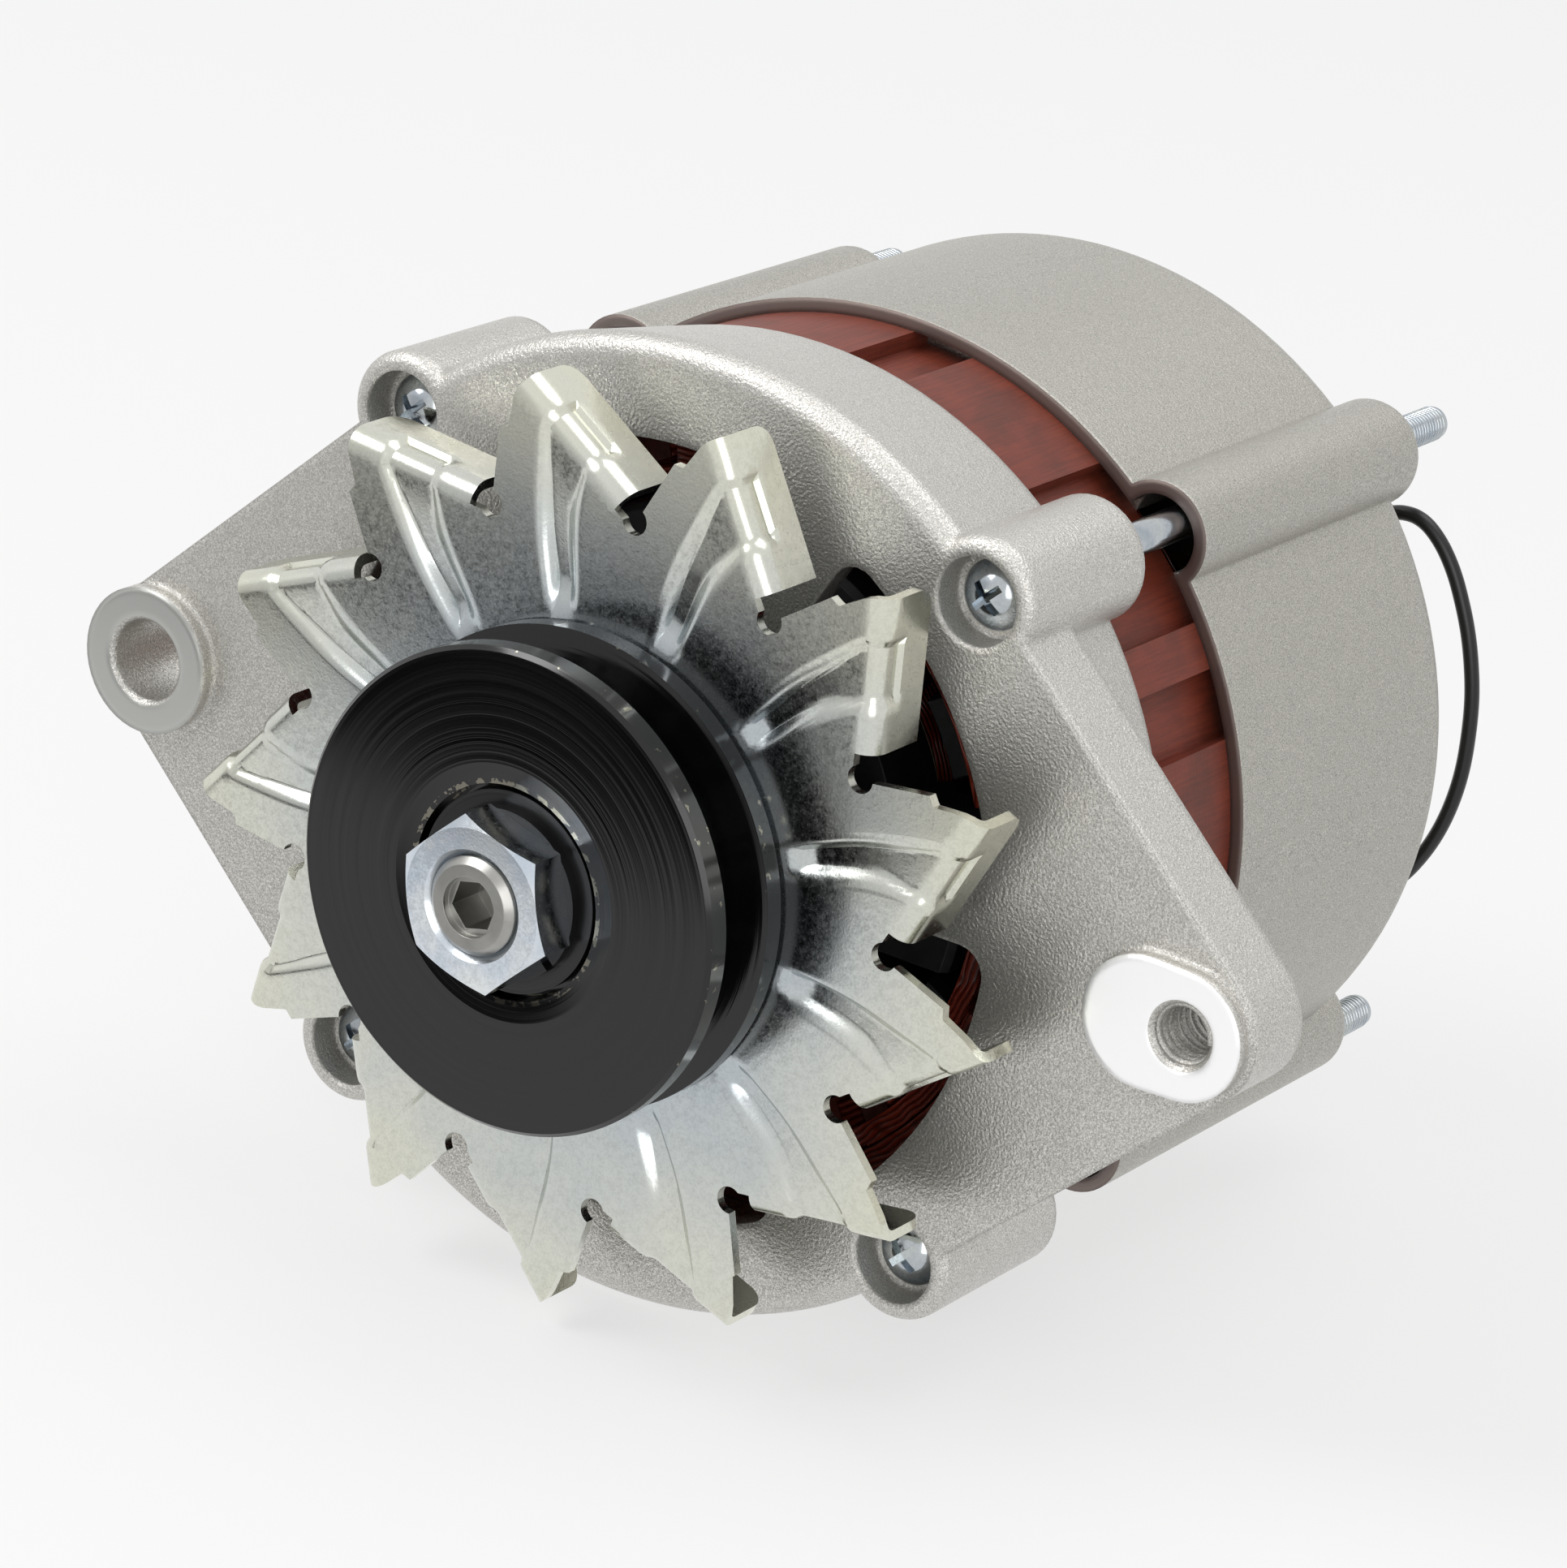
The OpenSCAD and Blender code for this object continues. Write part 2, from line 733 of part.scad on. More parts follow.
// One phase: bars in every third slot, joined by arches at either end in turn
module phase_winding(phase) {
    r_out = winding_r - phase * phase_step;
    r_in = r_out - phase_band;
    front_y = core_y - winding_head;
    rear_y = core_end_y + winding_head;
    count = slot_count / 3;
    for (i = [0 : count - 1]) {
        angle = (3 * i + phase) * slot_pitch;
        slab(core_y, core_end_y)
            rotate(angle)
                translate([stator_bore_r + 1.5, -winding_bar_w / 2])
                    square([winding_r - stator_bore_r - 1.5, winding_bar_w]);
        slab(front_y, rear_y)
            rotate(angle)
                translate([r_in, -winding_bar_w / 2])
                    square([phase_band - 0.2, winding_bar_w]);
        y = i % 2 == 0 ? front_y : rear_y - winding_bar_w;
        slab(y, y + winding_bar_w)
            sector(r_in, r_out, angle, angle + 3 * slot_pitch);
    }
}

module phase_winding_a() {
    color("darkred")
        phase_winding(0);
}

module phase_winding_b() {
    color("darkred")
        phase_winding(1);
}

module phase_winding_c() {
    color("darkred")
        phase_winding(2);
}

// Through bolts with domed heads and a cross recess
module through_bolt(angle, length) {
    at = polar(bolt_circle_r, angle);
    head_h = 3.6;
    difference() {
        union() {
            rod(bolt_d / 2, bolt_seat_y - 0.5, bolt_seat_y + length, at);
            translate([at[0], 0, at[1]])
                turned()
                    intersection() {
                        translate([0, bolt_seat_y - head_h])
                            square([bolt_head_d / 2, head_h]);
                        translate([0, bolt_seat_y - head_h + 6])
                            circle(r = 6);
                    }
        }
        for (turn = [0, 90])
            translate([at[0], bolt_seat_y - head_h - 0.5, at[1]])
                rotate([0, turn + angle, 0])
                    translate([-2.6, 0, -0.55])
                        cube([5.2, 2.6, 1.1]);
    }
}

module upper_through_bolts() {
    color("gainsboro")
        for (a = upper_bolt_angles)
            through_bolt(a, upper_bolt_len);
}

module lower_through_bolts() {
    color("gainsboro")
        for (a = lower_bolt_angles)
            through_bolt(a, lower_bolt_len);
}

// Bearings and their retainer

module front_bearing_outer_race() {
    color("silver")
        bearing_outer(front_bearing_d / 2, front_outer_land, front_bearing_y, front_bearing_end_y,
            front_pitch_r, front_ball_r);
}

module front_bearing_inner_race() {
    color("silver")
        bearing_inner(shaft_d / 2 + fit_gap, front_inner_land, front_bearing_y, front_bearing_end_y,
            front_pitch_r, front_ball_r);
}

module front_bearing_seals() {
    color("dimgray")
        bearing_seal_pair(front_inner_land, front_outer_land, front_bearing_y, front_bearing_end_y);
}

module front_bearing_cage() {
    color("goldenrod")
        caged_balls(front_pitch_r, front_ball_r, front_ball_count, front_bearing_y + front_bearing_w / 2);
}

module rear_bearing_outer_race() {
    color("silver")
        bearing_outer(rear_bearing_d / 2, rear_outer_land, rear_bearing_y, rear_bearing_end_y,
            rear_pitch_r, rear_ball_r);
}

module rear_bearing_inner_race() {
    color("silver")
        bearing_inner(rear_bearing_bore / 2 + fit_gap, rear_inner_land, rear_bearing_y,
            rear_bearing_end_y, rear_pitch_r, rear_ball_r);
}

module rear_bearing_seals() {
    color("dimgray")
        bearing_seal_pair(rear_inner_land, rear_outer_land, rear_bearing_y, rear_bearing_end_y);
}

module rear_bearing_cage() {
    color("goldenrod")
        caged_balls(rear_pitch_r, rear_ball_r, rear_ball_count, rear_bearing_y + rear_bearing_w / 2);
}

module bearing_retainer() {
    color("gainsboro")
        difference() {
            slab(retainer_y, retainer_y + retainer_t)
                difference() {
                    union() {
                        circle(r = front_bearing_d / 2 + 2, $fn = 96);
                        for (a = retainer_screw_angles)
                            translate(polar(retainer_screw_r, a))
                                circle(r = 4.5);
                    }
                    circle(r = front_outer_land + 1, $fn = 96);
                }
            for (a = retainer_screw_angles)
                retainer_screw(a, fit_gap);
        }
}

// Countersunk screw, or with a gap its seat
module retainer_screw(angle, gap = 0) {
    at = polar(retainer_screw_r, angle);
    translate([at[0], 0, at[1]])
        turned()
            polygon([
                [0, retainer_y - 8], [small_screw_r + gap, retainer_y - 8],
                [small_screw_r + gap, retainer_y + 0.3], [3.6 + gap, retainer_y + retainer_t],
                [3.6 + gap, retainer_y + retainer_t + gap], [0, retainer_y + retainer_t + gap]
            ]);
}

module retainer_screws() {
    color("dimgray")
        for (a = retainer_screw_angles)
            retainer_screw(a);
}

// Rectifier

module heat_sink(y, span, screw_hole_r) {
    difference() {
        slab(y, y + heat_sink_t)
            sector(heat_sink_r[0], heat_sink_r[1], span[0], span[1]);
        for (a = diode_angles)
            rod(diode_d / 2 + fit_gap, y - 1, y + heat_sink_t + 1, polar(diode_ring_r, a));
        for (a = rectifier_screw_angles)
            rod(screw_hole_r, y - 1, y + heat_sink_t + 1, polar(rectifier_screw_r, a));
    }
}

module positive_heat_sink() {
    color("silver")
        difference() {
            heat_sink(positive_y, positive_span, bush_r + fit_gap);
            rod(battery_stud_d / 2 + fit_gap, positive_y - 1, positive_y + heat_sink_t + 1, [stud_x, stud_z]);
        }
}

module negative_heat_sink() {
    color("silver")
        heat_sink(negative_y, negative_span, small_screw_r + fit_gap);
}

// Press-fit diodes: a body in the heat sink and a lead that ends at the board
module press_fit_diode(angle, body_y, lead_y0, lead_y1) {
    at = polar(diode_ring_r, angle);
    rod(diode_d / 2, body_y, body_y + heat_sink_t + 3, at);
    rod(0.8, lead_y0, lead_y1, at);
}

module positive_diodes() {
    color("dimgray")
        for (a = diode_angles)
            press_fit_diode(a, positive_y - 3, positive_y, board_y);
}

module negative_diodes() {
    color("dimgray")
        for (a = diode_angles)
            press_fit_diode(a, negative_y - 3, board_end_y, negative_y);
}

module exciter_board() {
    color("darkgreen")
        difference() {
            slab(board_y, board_end_y)
                sector(heat_sink_r[0] + 2, heat_sink_r[1] - 2, board_span[0], board_span[1]);
            for (a = rectifier_screw_angles)
                rod(small_screw_r + fit_gap, board_y - 1, board_end_y + 1, polar(rectifier_screw_r, a));
            rod(lamp_stud_d / 2 + fit_gap, board_y - 1, board_end_y + 1, [-stud_x, stud_z]);
        }
}

// Three small axial diodes that lie on the board
module exciter_diodes() {
    axis_y = board_y - 3;
    lead_x = [axial_diode_x - axial_lead_run, axial_diode_x + axial_diode_len + axial_lead_run];
    color("black")
        for (a = diode_angles)
            rotate([0, -a - 15, 0]) {
                translate([axial_diode_x, axis_y, 0])
                    rotate([0, 90, 0])
                        cylinder(r = axial_diode_r, h = axial_diode_len);
                for (x = lead_x) {
                    translate([x, axis_y, 0])
                        sphere(r = axial_lead_r, $fn = 16);
                    translate([x, axis_y, 0])
                        rotate([-90, 0, 0])
                            cylinder(r = axial_lead_r, h = board_y - axis_y);
                }
                translate([lead_x[0], axis_y, 0])
                    rotate([0, 90, 0])
                        cylinder(r = axial_lead_r, h = lead_x[1] - lead_x[0]);
            }
}

module rectifier_insulators() {
    color("saddlebrown")
        for (a = rectifier_screw_angles) {
            at = polar(rectifier_screw_r, a);
            ring(small_screw_r + fit_gap, spacer_r, positive_y - 1.2, positive_y, at);
            ring(small_screw_r + fit_gap, bush_r, positive_y, positive_y + heat_sink_t, at);
            ring(small_screw_r + fit_gap, spacer_r, positive_y + heat_sink_t, board_y, at);
            ring(small_screw_r + fit_gap, spacer_r, board_end_y, negative_y, at);
        }
}

module rectifier_screws() {
    seat_y = positive_y - 1.2;
    color("gainsboro")
        for (a = rectifier_screw_angles) {
            at = polar(rectifier_screw_r, a);
            rod(small_screw_r, seat_y - 1, back_y - 3, at);
            hexagon(small_nut_flats, seat_y - 3, seat_y, at);
        }
}

// Studs, nuts and insulators on the back

module battery_stud() {
    color("goldenrod") {
        rod(battery_core_r, positive_y, battery_nut_end_y, [stud_x, stud_z]);
        rod(battery_stud_d / 2, battery_nut_end_y, battery_stud_end_y, [stud_x, stud_z]);
        hexagon(battery_nut_flats, positive_y - 4, positive_y, [stud_x, stud_z]);
    }
}

module lamp_stud() {
    color("goldenrod") {
        rod(lamp_core_r, board_y, lamp_nut_end_y, [-stud_x, stud_z]);
        rod(lamp_stud_d / 2, lamp_nut_end_y, lamp_stud_end_y, [-stud_x, stud_z]);
        hexagon(lamp_nut_flats, board_y - 3.5, board_y, [-stud_x, stud_z]);
    }
}

// A sleeve from the part inside through the back wall, and a collar outside
module stud_insulator(stud_d, inside_y, at) {
    bore = stud_d / 2 + fit_gap;
    ring(bore, stud_spacer_r, inside_y, back_inner_y, at);
    ring(bore, stud_d / 2 + stud_hole_gap - fit_gap, back_inner_y, back_y, at);
    ring(bore, stud_washer_r, back_y, back_y + stud_washer_t, at);
}

module stud_insulators() {
    color("saddlebrown") {
        stud_insulator(battery_stud_d, positive_y + heat_sink_t, [stud_x, stud_z]);
        stud_insulator(lamp_stud_d, board_end_y, [-stud_x, stud_z]);
    }
}

module threaded_nut(flats, bore_r, y0, y1, at) {
    difference() {
        hexagon(flats, y0, y1, at);
        rod(bore_r + fit_gap, y0 - 1, y1 + 1, at);
    }
}

module battery_nuts() {
    color("gainsboro") {
        threaded_nut(battery_nut_flats, battery_core_r, back_y + stud_washer_t, terminal_y, [stud_x, stud_z]);
        threaded_nut(battery_nut_flats, battery_core_r, terminal_y + terminal_t, battery_nut_end_y,
            [stud_x, stud_z]);
    }
}

module lamp_nuts() {
    seat_y = back_y + stud_washer_t;
    color("gainsboro") {
        threaded_nut(lamp_nut_flats, lamp_core_r, seat_y, seat_y + lamp_nut_h, [-stud_x, stud_z]);
        threaded_nut(lamp_nut_flats, lamp_core_r, lamp_nut_end_y - lamp_nut_h, lamp_nut_end_y, [-stud_x, stud_z]);
    }
}

// Suppressor capacitor, its clamp and its lead

module suppressor_capacitor() {
    edge = 1;
    neck_end = lead_points[len(lead_points) - 1][0] - capacitor_x - lead_end_gap;
    r = capacitor_d / 2;
    color("silver")
        translate([capacitor_x, lead_y, capacitor_z])
            rotate([0, 90, 0])
                rotate_extrude($fn = 64)
                    polygon([
                        [0, 0], [r - edge, 0], [r, edge], [r, capacitor_len - edge],
                        [r - edge, capacitor_len], [3, capacitor_len], [2.4, neck_end],
                        [0, neck_end]
                    ]);
}

module capacitor_bracket() {
    r = capacitor_d / 2 + fit_gap;
    color("gainsboro")
        difference() {
            union() {
                translate([strap_x[0], lead_y, capacitor_z])
                    rotate([0, 90, 0])
                        difference() {
                            cylinder(r = r + strap_t, h = strap_x[1] - strap_x[0]);
                            translate([0, 0, -1])
                                cylinder(r = r, h = strap_x[1] - strap_x[0] + 2);
                        }
                difference() {
                    translate([strap_x[0], back_y, capacitor_z])
                        cube([strap_x[1] - strap_x[0], strap_t, capacitor_foot_z - capacitor_z]);
                    translate([strap_x[0] - 1, lead_y, capacitor_z])
                        rotate([0, 90, 0])
                            cylinder(r = r, h = strap_x[1] - strap_x[0] + 2);
                }
            }
            for (s = rear_screws)
                rod(small_screw_r + fit_gap, back_y - 1, back_y + 3, [s[0], s[1]]);
        }
}

module lead_terminal() {
    start = lead_points[0];
    stud = [stud_x, stud_z];
    run = start - stud;
    angle = atan2(run[1], run[0]);
    barrel_len = 5;
    tongue_w = 3.6;
    color("gold")
        difference() {
            union() {
                rod(battery_nut_flats / 2, terminal_y, terminal_y + terminal_t, stud);
                slab(terminal_y, terminal_y + terminal_t)
                    translate(stud)
                        rotate(angle)
                            translate([0, -tongue_w / 2])
                                square([norm(run) - 1, tongue_w]);
                translate([stud_x, lead_y, stud_z])
                    rotate([0, -angle, 0])
                        translate([norm(run) - barrel_len, 0, 0])
                            rotate([0, 90, 0])
                                cylinder(r = barrel_r, h = barrel_len - lead_end_gap);
            }
            rod(battery_stud_d / 2 + fit_gap, terminal_y - 1, terminal_y + 2, stud);
        }
}

// A tube of eight sides swept along points in the plane y = lead_y
module suppressor_lead() {
    sides = 8;
    last = len(lead_points) - 1;
    directions = [for (i = [0 : last])
        let (d = lead_points[min(i + 1, last)] - lead_points[max(i - 1, 0)]) d / norm(d)];
    corners = [for (i = [0 : last]) for (k = [0 : sides - 1])
        let (
            p = lead_points[i],
            out = lead_d / 2 * cos(k * 360 / sides),
            up = lead_d / 2 * sin(k * 360 / sides)
        )
        [p[0] - directions[i][1] * out, lead_y + up, p[1] + directions[i][0] * out]];
    walls = [for (i = [0 : last - 1]) for (k = [0 : sides - 1])
        let (next = (k + 1) % sides)
        [i * sides + k, (i + 1) * sides + k, (i + 1) * sides + next, i * sides + next]];
    ends = [[for (k = [0 : sides - 1]) k], [for (k = [sides - 1 : -1 : 0]) last * sides + k]];
    color("black")
        polyhedron(points = corners, faces = concat(walls, ends));
}

// Regulator with its brush holder

module regulator_body() {
    depth_x = 2 * holder_half_x;
    color("dimgray")
        difference() {
            union() {
                translate([-holder_half_x, holder_y[0], holder_z[0]])
                    cube([depth_x, holder_y[1] - holder_y[0], holder_z[1] - holder_z[0]]);
                translate([-holder_half_x, holder_y[1] - 1, regulator_hole_z[0] + 2])
                    cube([depth_x, back_y - holder_y[1] + 1.5, holder_z[1] - regulator_hole_z[0] - 2]);
                slab(back_inner_y, back_y + 0.5)
                    translate([-regulator_hole_x + play, regulator_hole_z[0] + play])
                        square([2 * (regulator_hole_x - play), regulator_hole_z[1] - regulator_hole_z[0] - 2 * play]);
                slab(back_y, back_y + flange_t)
                    rounded_plate(regulator_half_x, regulator_z, 3);
            }
            for (y = [front_ring_y, rear_ring_y])
                translate([-brush_half_x - brush_clearance, y + slip_ring_w / 2 - brush_w / 2 - brush_clearance, 0])
                    cube([2 * (brush_half_x + brush_clearance), brush_w + 2 * brush_clearance, chamber_top_z]);
            for (s = rear_screws)
                rod(small_screw_r + fit_gap, back_y - 1, back_y + flange_t + 1, [s[0], s[1]]);
        }
}

module rounded_plate(half_x, z_span, corner) {
    for (side = [-1, 1])
        for (z = [z_span[0] + corner, z_span[1] - corner])
            translate([side * (half_x - corner), z])
                circle(r = corner);
    translate([-half_x, z_span[0] + corner])
        square([2 * half_x, z_span[1] - z_span[0] - 2 * corner]);
    translate([-half_x + corner, z_span[0]])
        square([2 * (half_x - corner), z_span[1] - z_span[0]]);
}

module regulator_cover() {
    inset = 9.5;
    color("silver") {
        slab(back_y + flange_t, back_y + flange_t + cover_t - 3)
            rounded_plate(regulator_half_x - inset, regulator_z + [1.5, -1.5], 2.5);
        for (i = [0 : 4])
            translate([-12 + 6 * i - 1, back_y + flange_t + 1, regulator_z[0] + 3])
                cube([2, cover_t - 1, regulator_z[1] - regulator_z[0] - 6]);
    }
}

module rear_mounting_screws() {
    color("gainsboro")
        for (s = rear_screws) {
            seat_y = back_y + s[2];
            difference() {
                union() {
                    rod(small_screw_r, back_inner_y + 0.5, seat_y + 1, [s[0], s[1]]);
                    rod(3.6, seat_y, seat_y + 2.6, [s[0], s[1]]);
                }
                for (turn = [0, 90])
                    translate([s[0], seat_y + 1.2, s[1]])
                        rotate([0, turn, 0])
                            translate([-2, 0, -0.4])
                                cube([4, 3, 0.8]);
            }
        }
}

// A carbon brush with its end worn to the slip ring
module brush(ring_y) {
    color("darkslategray")
        difference() {
            translate([-brush_half_x, ring_y + (slip_ring_w - brush_w) / 2, brush_base_z])
                cube([2 * brush_half_x, brush_w, brush_len]);
            rod(slip_ring_d / 2 + 0.06, ring_y - 1, ring_y + slip_ring_w + 1);
        }
}

module front_brush() {
    brush(front_ring_y);
}

module rear_brush() {
    brush(rear_ring_y);
}

// A coil spring between the brush and the top of its chamber
module brush_spring(ring_y) {
    sides = 6;
    steps = 12;
    last = spring_turns * steps;
    base_z = brush_top_z + spring_wire_r + 0.05;
    rise = chamber_top_z - base_z - spring_wire_r - 0.05;
    corners = [for (i = [0 : last]) for (k = [0 : sides - 1])
        let (
            turn = 360 * i / steps,
            r = spring_r + spring_wire_r * cos(k * 360 / sides)
        )
        [r * cos(turn), r * sin(turn), rise * i / last + spring_wire_r * sin(k * 360 / sides)]];
    walls = [for (i = [0 : last - 1]) for (k = [0 : sides - 1])
        let (next = (k + 1) % sides)
        [i * sides + k, i * sides + next, (i + 1) * sides + next, (i + 1) * sides + k]];
    ends = [[for (k = [sides - 1 : -1 : 0]) k], [for (k = [0 : sides - 1]) last * sides + k]];
    color("silver")
        translate([0, ring_y + slip_ring_w / 2, base_z])
            polyhedron(points = corners, faces = concat(walls, ends));
}

module front_brush_spring() {
    brush_spring(front_ring_y);
}

module rear_brush_spring() {
    brush_spring(rear_ring_y);
}

// Shaft and what turns with it

module rotor_shaft() {
    tip_r = thread_d / 2;
    color("silver")
        difference() {
            turned()
                polygon([
                    [0, shaft_tip_y], [tip_r - 1, shaft_tip_y], [tip_r, shaft_tip_y + 1], [tip_r, recess_y],
                    [shaft_d / 2, recess_y], [shaft_d / 2, front_bearing_end_y],
                    [shoulder_r, front_bearing_end_y], [shoulder_r, rotor_y],
                    [pole_seat_d / 2, rotor_y], [pole_seat_d / 2, rotor_end_y],
                    [slip_seat_r, rotor_end_y], [slip_seat_r, rear_bearing_y - 3],
                    [rear_bearing_bore / 2, rear_bearing_y - 3],
                    [rear_bearing_bore / 2, rear_bearing_end_y - 0.8],
                    [rear_bearing_bore / 2 - 0.5, rear_bearing_end_y - 0.3], [0, rear_bearing_end_y - 0.3]
                ]);
            rod(4.3, shaft_tip_y - 1, shaft_tip_y + 1.2);
            slab(shaft_tip_y - 1, shaft_tip_y + 7)
                rotate(14)
                    circle(r = 6.5 / sqrt(3), $fn = 6);
        }
}

module pulley_nut() {
    color("lightsteelblue")
        difference() {
            hexagon(nut_flats, nut_y, spring_washer_y, [0, 0], nut_phase);
            rod(thread_d / 2 + fit_gap, nut_y - 1, spring_washer_y + 1);
            translate([0, nut_y - 0.01, 0])
                rotate([-90, 0, 0])
                    cylinder(r1 = thread_d / 2 + 1, r2 = thread_d / 2, h = 1);
        }
}

module spring_washer() {
    color("dimgray")
        difference() {
            ring(thread_d / 2 + fit_gap, spring_washer_d / 2, spring_washer_y, washer_y);
            rotate([0, 40, 0])
                translate([0, spring_washer_y - 1, -0.7])
                    cube([spring_washer_d, spring_washer_t + 2, 1.4]);
        }
}

module pulley_washer() {
    color("dimgray")
        ring(thread_d / 2 + fit_gap, washer_d / 2, washer_y, recess_y);
}

module pulley() {
    r = pulley_d / 2;
    half = pulley_w / 2;
    root = groove_w / 2 - groove_depth * tan(groove_angle / 2);
    edge = 0.6;
    recess_r = pulley_recess_d / 2;
    color([0.08, 0.08, 0.08])
        turned()
            polygon([
                [shaft_d / 2 + fit_gap, recess_y], [recess_r, recess_y], [recess_r, -half + 0.5],
                [recess_r + 3, -half], [r - edge, -half], [r, -half + edge], [r, -groove_w / 2],
                [r - groove_depth, -root], [r - groove_depth, root], [r, groove_w / 2],
                [r, half - edge], [r - edge, half], [shaft_d / 2 + fit_gap, half]
            ]);
}

// Fan: a flat disc whose blades end in flaps folded back along a chord

// The blade numbered i, seen from its own relief hole
function hole_angle(i) = first_hole_angle + i * blade_pitch;
fold_tip = polar(fan_tip_r, -tip_lag);
fold_foot = polar(fold_foot_r, -fold_foot_lag);
fold_run = fold_tip - fold_foot;
fold_len = norm(fold_run);
fold_angle = atan2(fold_run[1], fold_run[0]);
fold_in = [-cos(fold_angle - 90), -sin(fold_angle - 90)];

module blade_sheet() {
    inset = fold_in * fold_r;
    along = fold_run / fold_len;
    polygon([
        [0, 0], polar(relief_r + 1.2, -0.9), polar(fan_tip_r - 7, -4.4), polar(fan_tip_r - 7, -5.7),
        fold_tip + inset - along * 0.6, fold_foot + inset - along * 0.5
    ]);
}

// Outline of a pressed bead, from near the hub to the fold
module bead_outline(spread = 0) {
    polygon([
        polar(bead_r[0], -bead_lag[0] + spread), polar(bead_r[1], -bead_lag[0] + spread),
        polar(bead_r[2], -bead_lag[0] - 2 + spread), polar(bead_r[2], -bead_lag[1] - 2 - spread),
        polar(bead_r[1], -bead_lag[1] - spread), polar(bead_r[0], -bead_lag[1] - spread)
    ]);
}

// Fold and flap in one section, swept from the blade's foot to its tip
module blade_flap() {
    inner_r = fold_r - fan_t;
    intersection() {
        translate([fold_foot[0], 0, fold_foot[1]])
            rotate([0, 90 - fold_angle, 0])
                linear_extrude(height = fold_len)
                    polygon(concat(
                        arc([-fold_r, fan_y + fold_r], fold_r, -90, 0, 6),
                        [[0, fan_y + flap_depth], [-fan_t, fan_y + flap_depth]],
                        arc([-fold_r, fan_y + fold_r], inner_r, 0, -90, 6)
                    ));
        flap_trim();
    }
}

// Rounds off the flap's rear corner at the tip
module flap_trim() {
    corner = 3;
    translate([fold_foot[0], 0, fold_foot[1]])
        rotate([0, -fold_angle, 0])
            translate([0, 0, -10])
                linear_extrude(height = 20) {
                    translate([-1, fan_y - 1])
                        square([fold_len + 1 - corner, flap_depth + 1]);
                    translate([-1, fan_y - 1])
                        square([fold_len + 1, flap_depth + 1 - corner]);
                    translate([fold_len - corner, fan_y + flap_depth - corner])
                        circle(r = corner);
                }
}

module cooling_fan() {
    color("lightgray")
        difference() {
            union() {
                slab(fan_y, spacer_y)
                    union() {
                        circle(r = relief_r, $fn = 96);
                        for (i = [0 : blade_count - 1])
                            rotate(hole_angle(i))
                                blade_sheet();
                    }
                for (i = [0 : blade_count - 1])
                    rotate([0, -hole_angle(i), 0])
                        blade_flap();
                slab(spacer_y - 0.1, spacer_y + bead_depth)
                    for (i = [0 : blade_count - 1])
                        rotate(hole_angle(i))
                            bead_outline(-0.6);
            }
            slab(fan_y - 1, fan_y + bead_depth)
                for (i = [0 : blade_count - 1])
                    rotate(hole_angle(i))
                        bead_outline();
            for (i = [0 : blade_count - 1])
                rod(relief_d / 2, fan_y - 1, fan_y + fan_t + 1, polar(relief_r, hole_angle(i)));
            rod(shaft_d / 2 + fit_gap, fan_y - 1, spacer_y + 1);
        }
}

module spacer_collar() {
    color("silver")
        ring(shaft_d / 2 + fit_gap, spacer_r_out, spacer_y, front_bearing_y);
}

// Rotor

// One pole piece at the front end: a disc, half the hub and the tapered claws
module claw_pole() {
    tip_y = rotor_end_y - 5;
    disc_end_y = rotor_y + pole_disc_t;
    difference() {
        union() {
            rod(claw_root_r, rotor_y, disc_end_y);
            rod(pole_hub_r, rotor_y, rotor_y + rotor_len / 2);
            intersection() {
                turned()
                    polygon([
                        [claw_root_r - 2, rotor_y], [rotor_r - 1, rotor_y], [rotor_r, rotor_y + 1],
                        [rotor_r, tip_y], [rotor_r - claw_tip_t, tip_y],
                        [claw_root_r - 1, disc_end_y], [claw_root_r - 2, disc_end_y]
                    ]);
                for (i = [0 : claw_count - 1])
                    rotate([0, -i * 360 / claw_count, 0])
                        claw_prism(disc_end_y, tip_y);
            }
        }
        rod(pole_seat_d / 2 + fit_gap, rotor_y - 1, rotor_end_y + 1);
    }
}

// Side walls of one claw: straight over the disc, then tapered
module claw_prism(disc_end_y, tip_y) {
    translate([claw_root_r - 3, 0, 0])
        rotate([0, 90, 0])
            linear_extrude(height = rotor_r)
                polygon([
                    [-claw_base_w / 2, rotor_y - 1], [claw_base_w / 2, rotor_y - 1],
                    [claw_base_w / 2, disc_end_y - 1], [claw_tip_w / 2, tip_y + 1],
                    [-claw_tip_w / 2, tip_y + 1], [-claw_base_w / 2, disc_end_y - 1]
                ]);
}

module front_pole_piece() {
    color("slategray")
        claw_pole();
}

module rear_pole_piece() {
    color("slategray")
        difference() {
            translate([0, rotor_y + rotor_end_y, 0])
                mirror([0, 1, 0])
                    rotate([0, 180 / claw_count, 0])
                        claw_pole();
            for (side = [-1, 1])
                rod(coil_lead_r + play, rotor_end_y - pole_disc_t - 1, rotor_end_y + 1, [side * coil_lead_x, 0]);
        }
}

module coil_bobbin() {
    y0 = rotor_y + pole_disc_t;
    y1 = rotor_end_y - pole_disc_t;
    color("ivory")
        difference() {
            turned()
                polygon([
                    [pole_hub_r + fit_gap, y0], [bobbin_flange_r, y0], [bobbin_flange_r, y0 + bobbin_wall],
                    [pole_hub_r + bobbin_wall, y0 + bobbin_wall], [pole_hub_r + bobbin_wall, y1 - bobbin_wall],
                    [bobbin_flange_r, y1 - bobbin_wall], [bobbin_flange_r, y1], [pole_hub_r + fit_gap, y1]
                ]);
            for (side = [-1, 1])
                rod(coil_lead_r + play, y1 - bobbin_wall - 1, y1 + 1, [side * coil_lead_x, 0]);
        }
}

